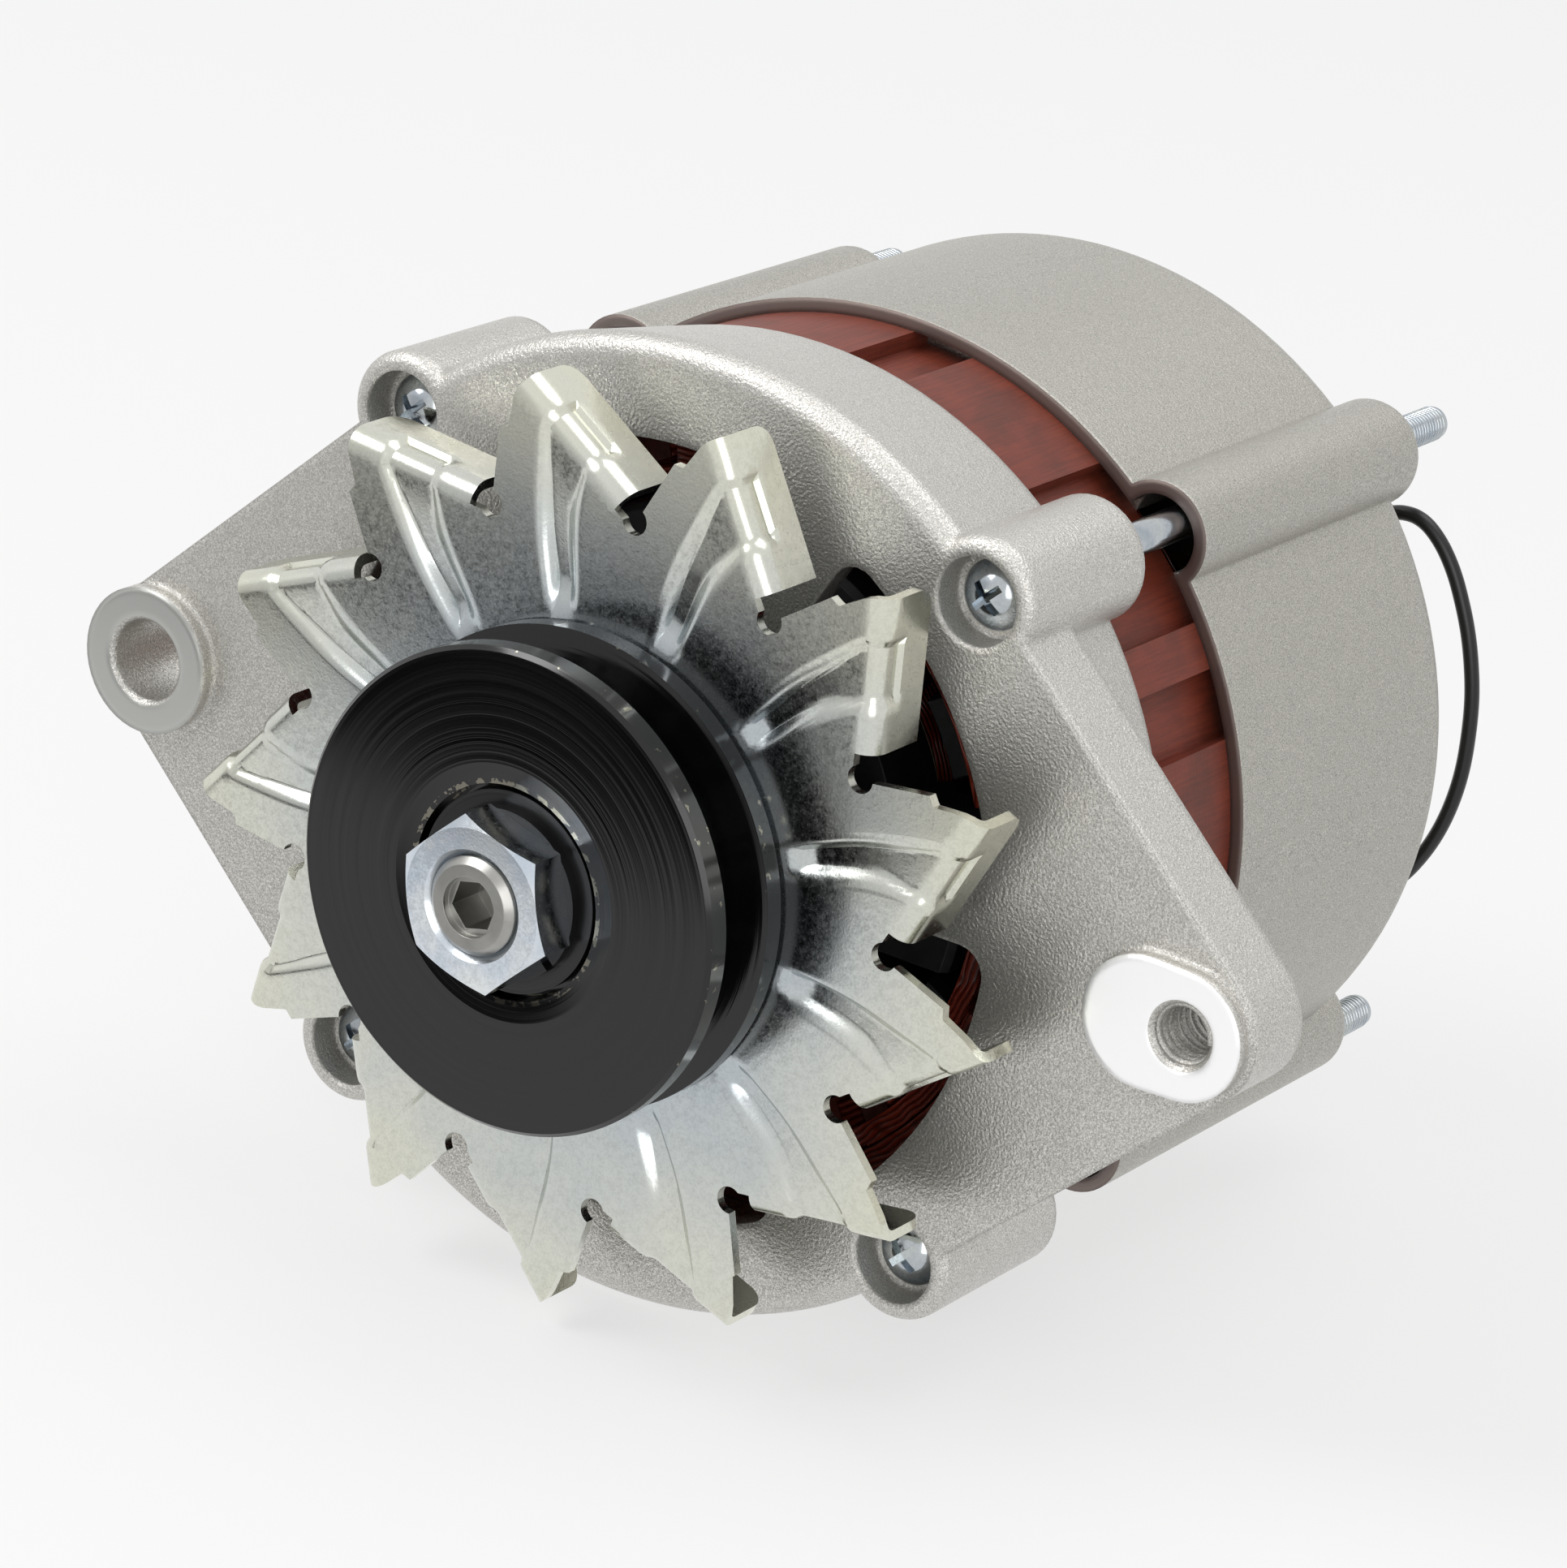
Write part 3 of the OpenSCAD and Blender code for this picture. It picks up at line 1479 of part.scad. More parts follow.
module field_coil() {
    y0 = rotor_y + pole_disc_t + bobbin_wall;
    y1 = rotor_end_y - pole_disc_t - bobbin_wall;
    color("darkred")
        ring(pole_hub_r + bobbin_wall + fit_gap, bobbin_flange_r - 1, y0, y1);
}

// The coil's two ends, through the rear pole piece to the slip ring sleeve
module field_coil_leads() {
    start_y = rotor_end_y - pole_disc_t - bobbin_wall;
    bend_y = slip_sleeve_y - 2;
    sleeve_x = slip_sleeve_r - 1;
    color("darkred")
        for (side = [-1, 1]) {
            rod(coil_lead_r, start_y, bend_y, [side * coil_lead_x, 0]);
            rod(coil_lead_r, bend_y, slip_sleeve_y, [side * sleeve_x, 0]);
            for (x = [coil_lead_x, sleeve_x])
                translate([side * x, bend_y, 0])
                    sphere(r = coil_lead_r, $fn = 24);
            translate([side * (coil_lead_x + sleeve_x) / 2, bend_y, 0])
                rotate([0, 90, 0])
                    cylinder(r = coil_lead_r, h = coil_lead_x - sleeve_x, center = true);
        }
}

module slip_ring_sleeve() {
    collar_r = slip_ring_d / 2 - 0.8;
    end_y = slip_sleeve_y + slip_sleeve_len;
    color("saddlebrown")
        turned()
            polygon([
                [slip_seat_r + fit_gap, slip_sleeve_y], [slip_sleeve_r, slip_sleeve_y],
                [slip_sleeve_r, front_ring_y + slip_ring_w], [collar_r, front_ring_y + slip_ring_w],
                [collar_r, rear_ring_y], [slip_sleeve_r, rear_ring_y],
                [slip_sleeve_r, rear_ring_y + slip_ring_w], [collar_r, rear_ring_y + slip_ring_w],
                [collar_r, end_y], [slip_seat_r + fit_gap, end_y]
            ]);
}

module front_slip_ring() {
    color("peru")
        ring(slip_sleeve_r + fit_gap, slip_ring_d / 2, front_ring_y, front_ring_y + slip_ring_w);
}

module rear_slip_ring() {
    color("peru")
        ring(slip_sleeve_r + fit_gap, slip_ring_d / 2, rear_ring_y, rear_ring_y + slip_ring_w);
}

drive_end_bracket();
rear_housing();
stator_core();
phase_winding_a();
phase_winding_b();
phase_winding_c();
upper_through_bolts();
lower_through_bolts();
front_bearing_outer_race();
front_bearing_seals();
bearing_retainer();
retainer_screws();
rear_bearing_outer_race();
rear_bearing_seals();
positive_heat_sink();
negative_heat_sink();
positive_diodes();
negative_diodes();
exciter_board();
exciter_diodes();
rectifier_insulators();
rectifier_screws();
regulator_body();
regulator_cover();
rear_mounting_screws();
battery_stud();
stud_insulators();
battery_nuts();
lamp_stud();
lamp_nuts();
suppressor_capacitor();
capacitor_bracket();
suppressor_lead();
lead_terminal();
rotor_shaft();
pulley_nut();
spring_washer();
pulley_washer();
pulley();
cooling_fan();
spacer_collar();
front_bearing_inner_race();
front_pole_piece();
rear_pole_piece();
coil_bobbin();
field_coil();
field_coil_leads();
slip_ring_sleeve();
front_slip_ring();
rear_slip_ring();
rear_bearing_inner_race();
front_bearing_cage();
rear_bearing_cage();
front_brush();
rear_brush();
front_brush_spring();
rear_brush_spring();
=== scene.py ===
"""Looks of a vehicle alternator: finishes for its solids, the stamped fan, the lead and the studio."""

import json
import logging
import math
from dataclasses import dataclass, field
from enum import Enum

import bmesh
import bpy
from mathutils import Matrix, Vector
from mathutils.geometry import delaunay_2d_cdt

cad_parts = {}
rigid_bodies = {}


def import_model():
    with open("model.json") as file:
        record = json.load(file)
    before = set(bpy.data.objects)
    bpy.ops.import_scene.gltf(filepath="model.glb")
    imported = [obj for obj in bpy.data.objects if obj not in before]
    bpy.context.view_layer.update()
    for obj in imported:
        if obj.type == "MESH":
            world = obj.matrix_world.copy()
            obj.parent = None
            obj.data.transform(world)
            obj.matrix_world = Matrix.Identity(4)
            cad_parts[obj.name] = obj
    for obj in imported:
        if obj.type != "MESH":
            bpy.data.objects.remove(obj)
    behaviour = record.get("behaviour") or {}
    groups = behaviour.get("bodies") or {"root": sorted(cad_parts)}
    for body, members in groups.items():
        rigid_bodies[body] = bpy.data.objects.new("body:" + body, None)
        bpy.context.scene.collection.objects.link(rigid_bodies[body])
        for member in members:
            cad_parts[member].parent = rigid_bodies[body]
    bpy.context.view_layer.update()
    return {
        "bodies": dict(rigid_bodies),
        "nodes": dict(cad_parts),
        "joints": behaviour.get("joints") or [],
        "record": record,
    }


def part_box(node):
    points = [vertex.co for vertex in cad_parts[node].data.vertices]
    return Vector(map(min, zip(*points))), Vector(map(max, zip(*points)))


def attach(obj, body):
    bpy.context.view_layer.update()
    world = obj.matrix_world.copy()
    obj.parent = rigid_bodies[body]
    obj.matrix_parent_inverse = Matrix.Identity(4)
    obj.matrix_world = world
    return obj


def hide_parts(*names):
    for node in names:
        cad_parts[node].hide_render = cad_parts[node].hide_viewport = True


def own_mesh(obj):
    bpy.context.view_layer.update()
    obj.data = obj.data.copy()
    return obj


MM = 0.001
WELD_MM = 0.02
WIRE_STEPS = 40
WIRE_SIDES = 8
WIRE_SMOOTH = 60.0
LOG = logging.getLogger("alternator")

Colour = tuple[float, float, float, float]
Material, Mesh, Object = bpy.types.Material, bpy.types.Mesh, bpy.types.Object
Node, Socket, Tree = bpy.types.Node, bpy.types.NodeSocket, bpy.types.NodeTree
Source = Node | Socket


class Body(Enum):
    """The rigid bodies that pieces ride on."""

    HOUSING = "housing"
    ROTOR = "rotor"


def linear(hex_colour: str) -> Colour:
    """Turns an sRGB hex colour into linear values.

    Args:
        hex_colour: Six hex digits with a leading hash.

    Returns:
        Red, green, blue and an alpha of one.
    """
    parts = [int(hex_colour[i:i + 2], 16) / 255 for i in (1, 3, 5)]
    low = [c / 12.92 if c <= 0.04045 else ((c + 0.055) / 1.055) ** 2.4 for c in parts]
    return (low[0], low[1], low[2], 1.0)


def scaled(colour: Colour, share: float) -> Colour:
    """A linear colour made lighter or darker."""
    return tuple(c * share for c in colour[:3]) + (1.0,)


def grey(value: float) -> Colour:
    """A linear grey."""
    return (value, value, value, 1.0)


def first_output(value: object) -> object:
    """A node's first output, and any other value as it is."""
    return value.outputs[0] if isinstance(value, Node) else value


def add_node(tree: Tree, kind: str, inputs: dict | None = None, stops: tuple = (), **settings) -> Node:
    """Adds one node with its settings, values and links.

    Args:
        tree: The node tree.
        kind: The node's type name.
        inputs: Values, sockets or nodes, by input name or number. A node is read at its first output.
        stops: Positions and linear colours of a colour ramp, in order.
        settings: Properties of the node.

    Returns:
        The new node.
    """
    node = tree.nodes.new(kind)
    for name, value in settings.items():
        setattr(node, name, value)
    for name, value in (inputs or {}).items():
        source = first_output(value)
        if isinstance(source, Socket):
            tree.links.new(source, node.inputs[name])
        else:
            node.inputs[name].default_value = source
    for index, (position, colour) in enumerate(stops):
        elements = node.color_ramp.elements
        element = elements[index] if index < 2 else elements.new(position)
        element.position = position
        element.color = colour
    return node


def grain(place: Source, size_mm: float, detail: float = 2.0) -> dict:
    """The inputs of a noise whose features have a real size."""
    return {"Vector": place, "Scale": 1 / (size_mm * MM), "Detail": detail, "Roughness": 0.55}


def stripes(along: Source, size_mm: float, detail: float) -> dict:
    """The inputs of a noise that changes along one measure only."""
    return {"W": along, "Scale": 1 / (size_mm * MM), "Detail": detail}


def pressed(height: Source, strength: float, depth_mm: float) -> dict:
    """The inputs of a bump with a real depth between a height of zero and one."""
    return {"Height": height, "Strength": strength, "Distance": depth_mm * MM}


def spread(value: Source, low: float, high: float, to_low: float, to_high: float) -> dict:
    """The inputs that map one range of numbers onto another."""
    return {"Value": value, "From Min": low, "From Max": high, "To Min": to_low, "To Max": to_high}


def around_shaft(tree: Tree, place: Socket) -> tuple[Socket, Socket]:
    """Measures where a point lies about the shaft.

    Args:
        tree: The node tree.
        place: The object coordinates.

    Returns:
        The distance from the shaft's axis, and the place along it.
    """
    axes = add_node(tree, "ShaderNodeSeparateXYZ", {0: place}).outputs
    flat = add_node(tree, "ShaderNodeCombineXYZ", {0: axes[0], 2: axes[2]})
    radius = add_node(tree, "ShaderNodeVectorMath", {0: flat}, operation="LENGTH").outputs["Value"]
    return radius, axes[1]


def show(tree: Tree, surface: Node) -> None:
    """Links a shader to the material's output."""
    output = next(node for node in tree.nodes if node.type == "OUTPUT_MATERIAL")
    tree.links.new(surface.outputs[0], output.inputs[0])


@dataclass(frozen=True)
class Finish:
    """What every finish shares: a principled shader on Object coordinates."""

    name: str
    colour: str
    roughness: float
    metallic: float = 0.0

    def start(self) -> tuple[Material, Tree, Node, Socket]:
        """Makes the material with its shader.

        Returns:
            The material, its tree, the shader and the object coordinates.
        """
        material = bpy.data.materials.new(self.name)
        material.use_nodes = True
        tree = material.node_tree
        tree.nodes.clear()
        shader = add_node(tree, "ShaderNodeBsdfPrincipled", {
            "Base Color": linear(self.colour), "Roughness": self.roughness, "Metallic": self.metallic})
        add_node(tree, "ShaderNodeOutputMaterial")
        show(tree, shader)
        place = add_node(tree, "ShaderNodeTexCoord").outputs["Object"]
        return material, tree, shader, place

    def skin(self, tree: Tree, place: Socket) -> dict[str, Source]:
        """What the finish draws on the surface: nothing on a plain one.

        Args:
            tree: The material's node tree.
            place: The object coordinates.

        Returns:
            Nodes or sockets by the name of the shader's input.
        """
        return {}

    def build(self) -> Material:
        """Makes the finished material.

        Returns:
            The material, with the finish's own skin.
        """
        material, tree, shader, place = self.start()
        for name, source in self.skin(tree, place).items():
            tree.links.new(first_output(source), shader.inputs[name])
        return material


@dataclass(frozen=True)
class BlastedAluminium(Finish):
    """Shot-blasted cast aluminium: a matt skin of small dents that sparkle, with some faces milled.

    A milled face is told from the skin by its place along the shaft, so it stays right if the casting turns. A
    shaded milled colour, where given, is painted shade on the milled faces on the -X side.
    """

    grit_mm: float = 0.45
    relief_mm: float = 0.14
    fillet_mm: float = 1.2
    cloud_mm: float = 9.0
    sparkle: float = 0.12
    milled_y: float | None = None
    milled_from_r: float = 0.0
    milled_colour: str = "#ffffff"
    # Colour of the milled faces on the -X side: painted shade, against the lit colour on the +X side.
    milled_painted_shade: str | None = None
    milled_rough: float = 0.28
    plane_mm: float = 0.03
    mark_mm: float = 0.02

    def milled(self, tree: Tree, place: Socket) -> Node:
        """Finds the milled face: its plane, beyond the given radius.

        Args:
            tree: The material's node tree.
            place: The object coordinates.

        Returns:
            One on the milled face and zero elsewhere.
        """
        radius, along = around_shaft(tree, place)
        on_plane = add_node(tree, "ShaderNodeMath", {
            0: along, 1: self.milled_y * MM, 2: self.plane_mm * MM}, operation="COMPARE")
        outside = add_node(tree, "ShaderNodeMath", {
            0: radius, 1: self.milled_from_r * MM}, operation="GREATER_THAN")
        return add_node(tree, "ShaderNodeMath", {0: on_plane, 1: outside}, operation="MULTIPLY")

    def skin(self, tree: Tree, place: Socket) -> dict[str, Source]:
        """The cast and blasted skin, with soft edges and slightly uneven tone.

        Args:
            tree: The material's node tree.
            place: The object coordinates.

        Returns:
            Nodes or sockets by the name of the shader's input.
        """
        base = linear(self.colour)
        grit = add_node(tree, "ShaderNodeTexNoise", grain(place, self.grit_mm))
        fine = add_node(tree, "ShaderNodeTexNoise", grain(place, self.grit_mm * 0.4, 1.0))
        cloud = add_node(tree, "ShaderNodeTexNoise", grain(place, self.cloud_mm))
        tone = add_node(tree, "ShaderNodeValToRGB", {0: cloud}, (
            (0.35, scaled(base, 0.93)), (0.65, base)))
        speck = add_node(tree, "ShaderNodeValToRGB", {0: fine}, (
            (0.30, scaled(base, 0.62)), (0.50, base), (0.70, scaled(base, 1.5))))
        colour = add_node(tree, "ShaderNodeMix", {
            "Factor": 0.75, 6: tone, 7: speck}, data_type="RGBA").outputs[2]
        rough = add_node(tree, "ShaderNodeMapRange", spread(
            fine, 0.3, 0.7, self.roughness + self.sparkle, self.roughness - self.sparkle))
        rounded = add_node(tree, "ShaderNodeBevel", {"Radius": self.fillet_mm * MM}, samples=6)
        dents = add_node(tree, "ShaderNodeBump", pressed(grit, 1.0, self.relief_mm) | {"Normal": rounded})
        if self.milled_y is None:
            return {"Base Color": colour, "Roughness": rough, "Normal": dents}
        mask = self.milled(tree, place)
        # Painted light: the milled faces are split by side. On the +X side they are white, bright milled metal
        # raised to a painted highlight; on the -X side they take a darker painted shade.
        side = add_node(tree, "ShaderNodeSeparateXYZ", {0: place})
        right = add_node(tree, "ShaderNodeMath", {0: side, 1: 0.0}, operation="GREATER_THAN")
        bright = linear(self.milled_colour)
        shaded_milled = linear(self.milled_painted_shade) if self.milled_painted_shade else bright
        milled = add_node(tree, "ShaderNodeMix", {
            "Factor": right, 6: shaded_milled, 7: bright}, data_type="RGBA").outputs[2]
        marks = add_node(tree, "ShaderNodeBump", pressed(fine, 0.2, self.mark_mm) | {"Normal": rounded})
        return {
            "Base Color": add_node(tree, "ShaderNodeMix", {
                "Factor": mask, 6: colour, 7: milled}, data_type="RGBA").outputs[2],
            "Roughness": add_node(tree, "ShaderNodeMix", {
                "Factor": mask, 2: rough, 3: self.milled_rough}),
            "Normal": add_node(tree, "ShaderNodeMix", {
                "Factor": mask, 4: dents, 5: marks}, data_type="VECTOR").outputs[1]}


@dataclass(frozen=True)
class ZincPlate(Finish):
    """Zinc-plated and passivated steel: bright, frosted in tiny spangles, with a faint yellow and blue cast.

    Where a hub radius is given, the colour runs by radius from the shade colour at that radius, as painted
    shade beside the pulley, to the tint further out, as a painted warm reflection.
    """

    tint: str = "#dfdec9"
    shade: str = "#b9c0c4"
    cloud_mm: float = 18.0
    spangle_mm: float = 0.4
    spangle: float = 0.09
    blotch_mm: float = 1.2
    peel_mm: float = 0.012
    scratch_mm: float = 0.25
    scratch_depth_mm: float = 0.01
    scratch_turn: tuple[float, float, float] = (0.0, 0.6, 0.0)
    scratch_stretch: tuple[float, float, float] = (1.0, 1.0, 0.04)
    # Painted light by radius: painted shade at the hub radius gives way to a painted warm reflection further
    # out, ending at the hub radius times the fade.
    painted_light_r: float = 0.0
    painted_light_fade: float = 2.1

    def skin(self, tree: Tree, place: Socket) -> dict[str, Source]:
        """The plated skin with its cast, spangles and scratches, and with painted shade and reflection by
        radius where a hub radius is given.

        Args:
            tree: The material's node tree.
            place: The object coordinates.

        Returns:
            Nodes or sockets by the name of the shader's input.
        """
        cloud = add_node(tree, "ShaderNodeTexNoise", grain(place, self.cloud_mm, 3.0))
        frost = add_node(tree, "ShaderNodeTexNoise", grain(place, self.spangle_mm, 3.0))
        blotch = add_node(tree, "ShaderNodeTexNoise", grain(place, self.blotch_mm, 3.0))
        # Painted light: mixing in the radius makes the colour darker and bluer near the hub as painted shade,
        # and lighter and warmer towards the rim as a painted reflection.
        if self.painted_light_r:
            far = add_node(tree, "ShaderNodeVectorMath", {0: place}, operation="LENGTH").outputs["Value"]
            painted_light_band = add_node(tree, "ShaderNodeMapRange", spread(
                far, self.painted_light_r * MM, self.painted_light_r * self.painted_light_fade * MM, 0.12, 0.80))
            cloud = add_node(tree, "ShaderNodeMix", {"Factor": 0.35, 2: painted_light_band, 3: cloud})
        cast = add_node(tree, "ShaderNodeValToRGB", {0: cloud}, (
            (0.25, linear(self.shade)), (0.5, linear(self.colour)), (0.75, linear(self.tint))))
        mottle = add_node(tree, "ShaderNodeMix", {"Factor": 0.45, 2: frost, 3: blotch})
        dark = add_node(tree, "ShaderNodeValToRGB", {0: mottle}, (
            (0.38, grey(1 - self.spangle)), (0.56, grey(1.0))))
        turned = add_node(tree, "ShaderNodeMapping", {
            "Vector": place, "Rotation": self.scratch_turn, "Scale": self.scratch_stretch})
        scratch = add_node(tree, "ShaderNodeTexNoise", grain(turned, self.scratch_mm))
        peel = add_node(tree, "ShaderNodeBump", pressed(mottle, 0.8, self.peel_mm))
        return {
            "Base Color": add_node(tree, "ShaderNodeMix", {
                "Factor": 1.0, 6: cast, 7: dark}, data_type="RGBA", blend_type="MULTIPLY").outputs[2],
            "Roughness": add_node(tree, "ShaderNodeMapRange", spread(
                mottle, 0.35, 0.65, self.roughness + 0.10, self.roughness - 0.06)),
            "Normal": add_node(tree, "ShaderNodeBump", pressed(
                scratch, 0.15, self.scratch_depth_mm) | {"Normal": peel})}


@dataclass(frozen=True)
class TurnedEnamel(Finish):
    """Gloss black enamel over turned steel: fine tool rings show through, and rims are chipped to the metal.

    The rings are coarser than real tool marks, so that they show at the photograph's distance.
    """

    ring_mm: float = 1.1
    ring_depth_mm: float = 0.05
    broad_mm: float = 2.6
    waver_mm: float = 1.6
    rim_r_mm: float = 34.3
    rim_kept: float = 0.66
    recess_r_mm: float = 15.6
    lip_mm: float = 0.45
    lip_kept: float = 0.50
    chip: str = "#77746a"

    def skin(self, tree: Tree, place: Socket) -> dict[str, Source]:
        """The enamel with its rings about the shaft and its chipped rims.

        Args:
            tree: The material's node tree.
            place: The object coordinates.

        Returns:
            Nodes or sockets by the name of the shader's input.
        """
        radius, _ = around_shaft(tree, place)
        rings, broad = (
            add_node(tree, "ShaderNodeTexNoise", stripes(radius, size, detail), noise_dimensions="1D")
            for size, detail in ((self.ring_mm, 4.0), (self.broad_mm, 1.0)))
        waver = add_node(tree, "ShaderNodeTexNoise", grain(place, self.waver_mm, 3.0))
        near_rim = add_node(tree, "ShaderNodeMath", {
            0: radius, 1: self.rim_r_mm * MM}, operation="GREATER_THAN")
        near_recess = add_node(tree, "ShaderNodeMath", {
            0: radius, 1: self.recess_r_mm * MM, 2: self.lip_mm * MM}, operation="COMPARE")
        chips = []
        for near, kept in ((near_rim, self.rim_kept), (near_recess, self.lip_kept)):
            gone = add_node(tree, "ShaderNodeMath", {0: waver, 1: kept}, operation="GREATER_THAN")
            chips.append(add_node(tree, "ShaderNodeMath", {0: near, 1: gone}, operation="MULTIPLY"))
        bare = add_node(tree, "ShaderNodeMath", dict(enumerate(chips)), operation="MAXIMUM")
        return {
            "Base Color": add_node(tree, "ShaderNodeMix", {
                "Factor": bare, 6: linear(self.colour), 7: linear(self.chip)}, data_type="RGBA").outputs[2],
            "Roughness": add_node(tree, "ShaderNodeMapRange", spread(
                broad, 0.35, 0.65, self.roughness, self.roughness + 0.08)),
            "Metallic": bare,
            "Normal": add_node(tree, "ShaderNodeBump", pressed(rings, 0.7, self.ring_depth_mm))}


@dataclass(frozen=True)
class LaminatedVarnish(Finish):
    """Stacked steel sheets under brushed red-brown varnish: fine ridges, runs and darker pools."""

    lamination_mm: float = 0.5
    lamination_depth_mm: float = 0.05
    brush_mm: float = 0.45
    brush_depth_mm: float = 0.10
    brush_stretch: tuple[float, float, float] = (1.0, 0.05, 1.0)
    pool_mm: float = 9.0
    pool: str = "#5f2717"
    streak_dark: Colour = (0.80, 0.78, 0.78, 1.0)
    streak_light: Colour = (1.06, 1.03, 1.0, 1.0)

    def skin(self, tree: Tree, place: Socket) -> dict[str, Source]:
        """The varnished stack with its ridges and brush marks along the shaft.

        Args:
            tree: The material's node tree.
            place: The object coordinates.

        Returns:
            Nodes or sockets by the name of the shader's input.
        """
        along = around_shaft(tree, place)[1]
        stretched = add_node(tree, "ShaderNodeMapping", {"Vector": place, "Scale": self.brush_stretch})
        runs = add_node(tree, "ShaderNodeTexNoise", grain(stretched, self.brush_mm, 3.0))
        pools = add_node(tree, "ShaderNodeTexNoise", grain(place, self.pool_mm, 3.0))
        sheets = add_node(tree, "ShaderNodeTexNoise", stripes(along, self.lamination_mm, 0.0),
                          noise_dimensions="1D")
        even = add_node(tree, "ShaderNodeValToRGB", {0: pools}, (
            (0.3, linear(self.pool)), (0.55, linear(self.colour))))
        streak = add_node(tree, "ShaderNodeValToRGB", {0: runs}, (
            (0.35, self.streak_dark), (0.62, self.streak_light)))
        ridges = add_node(tree, "ShaderNodeBump", pressed(sheets, 0.35, self.lamination_depth_mm))
        return {
            "Base Color": add_node(tree, "ShaderNodeMix", {
                "Factor": 1.0, 6: even, 7: streak}, data_type="RGBA", blend_type="MULTIPLY").outputs[2],
            "Normal": add_node(tree, "ShaderNodeBump", pressed(
                runs, 0.9, self.brush_depth_mm) | {"Normal": ridges})}


@dataclass(frozen=True)
class WoundWire(Finish):
    """Enamelled wires laid side by side round the shaft, in varnish."""

    wire_mm: float = 0.9
    stray_mm: float = 2.0
    stray_size_mm: float = 6.0
    gap_dark: float = 0.25

    def skin(self, tree: Tree, place: Socket) -> dict[str, Source]:
        """The bundle with its wires following the circle.

        Args:
            tree: The material's node tree.
            place: The object coordinates.

        Returns:
            Nodes or sockets by the name of the shader's input.
        """
        stray = add_node(tree, "ShaderNodeTexNoise", grain(place, self.stray_size_mm, 1.0))
        waves = []
        for across in around_shaft(tree, place):
            bent = add_node(tree, "ShaderNodeMath", {
                0: stray, 1: self.stray_mm * MM, 2: across}, operation="MULTIPLY_ADD")
            phase = add_node(tree, "ShaderNodeMath", {
                0: bent, 1: math.pi / (self.wire_mm * MM)}, operation="MULTIPLY")
            wave = add_node(tree, "ShaderNodeMath", {0: phase}, operation="SINE")
            waves.append(add_node(tree, "ShaderNodeMath", {0: wave}, operation="ABSOLUTE"))
        height = add_node(tree, "ShaderNodeMath", dict(enumerate(waves)), operation="MULTIPLY")
        base = linear(self.colour)
        return {
            "Base Color": add_node(tree, "ShaderNodeValToRGB", {0: height}, (
                (0.05, scaled(base, self.gap_dark)), (0.45, base))),
            "Normal": add_node(tree, "ShaderNodeBump", pressed(height, 1.0, self.wire_mm * 0.4))}


@dataclass(frozen=True)
class MachinedMetal(Finish):
    """Turned or milled metal left bare: fine tool marks and a satin shine."""

    mark_mm: float = 0.3
    mark_depth_mm: float = 0.01
    cloud_mm: float = 5.0
    edge_mm: float = 0.25

    def skin(self, tree: Tree, place: Socket) -> dict[str, Source]:
        """The machined skin with its tool marks and softened edges.

        Args:
            tree: The material's node tree.
            place: The object coordinates.

        Returns:
            Nodes or sockets by the name of the shader's input.
        """
        marks = add_node(tree, "ShaderNodeTexNoise", grain(place, self.mark_mm))
        cloud = add_node(tree, "ShaderNodeTexNoise", grain(place, self.cloud_mm, 3.0))
        rounded = add_node(tree, "ShaderNodeBevel", {"Radius": self.edge_mm * MM}, samples=4)
        base = linear(self.colour)
        return {
            "Base Color": add_node(tree, "ShaderNodeValToRGB", {0: cloud}, (
                (0.35, scaled(base, 0.8)), (0.6, base))),
            "Normal": add_node(tree, "ShaderNodeBump", pressed(
                marks, 0.25, self.mark_depth_mm) | {"Normal": rounded})}


@dataclass(frozen=True)
class Moulded(Finish):
    """Moulded plastic, rubber or carbon: an even colour with a fine spark-eroded grain."""

    grain_mm: float = 0.4
    relief_mm: float = 0.02
    cloud_mm: float = 8.0

    def skin(self, tree: Tree, place: Socket) -> dict[str, Source]:
        """The moulded skin with its grain and slight clouds.

        Args:
            tree: The material's node tree.
            place: The object coordinates.

        Returns:
            Nodes or sockets by the name of the shader's input.
        """
        grit = add_node(tree, "ShaderNodeTexNoise", grain(place, self.grain_mm))
        cloud = add_node(tree, "ShaderNodeTexNoise", grain(place, self.cloud_mm))
        base = linear(self.colour)
        return {
            "Base Color": add_node(tree, "ShaderNodeValToRGB", {0: cloud}, (
                (0.35, scaled(base, 0.82)), (0.65, base))),
            "Normal": add_node(tree, "ShaderNodeBump", pressed(grit, 0.4, self.relief_mm))}


def smooth_step(low: float, high: float, value: float) -> float:
    """Eases from zero at low to one at high."""
    t = min(1.0, max(0.0, (value - low) / (high - low)))
    return t * t * (3 - 2 * t)


def polar(radius: float, degrees: float) -> Vector:
    """Turns a radius and an angle into a flat point."""
    return Vector((radius * math.cos(math.radians(degrees)), radius * math.sin(math.radians(degrees))))


def new_object(name: str, data: bpy.types.ID) -> Object:
    """Links a new object into the scene.

    Args:
        name: The object's name.
        data: Its mesh, camera or lamp.

    Returns:
        The new object.
    """
    obj = bpy.data.objects.new(name, data)
    bpy.context.scene.collection.objects.link(obj)
    return obj


def bake(obj: Object) -> None:
    """Turns an object's modifiers into plain mesh.

    Args:
        obj: The object, which keeps its name and loses its modifiers.
    """
    graph = bpy.context.evaluated_depsgraph_get()
    mesh = bpy.data.meshes.new_from_object(obj.evaluated_get(graph))
    obj.modifiers.clear()
    obj.data = mesh


def shade(obj: Object, degrees: float) -> None:
    """Shades a mesh smooth, with its edges sharp beyond an angle."""
    obj.data.shade_smooth()
    obj.data.set_sharp_from_angle(angle=math.radians(degrees))


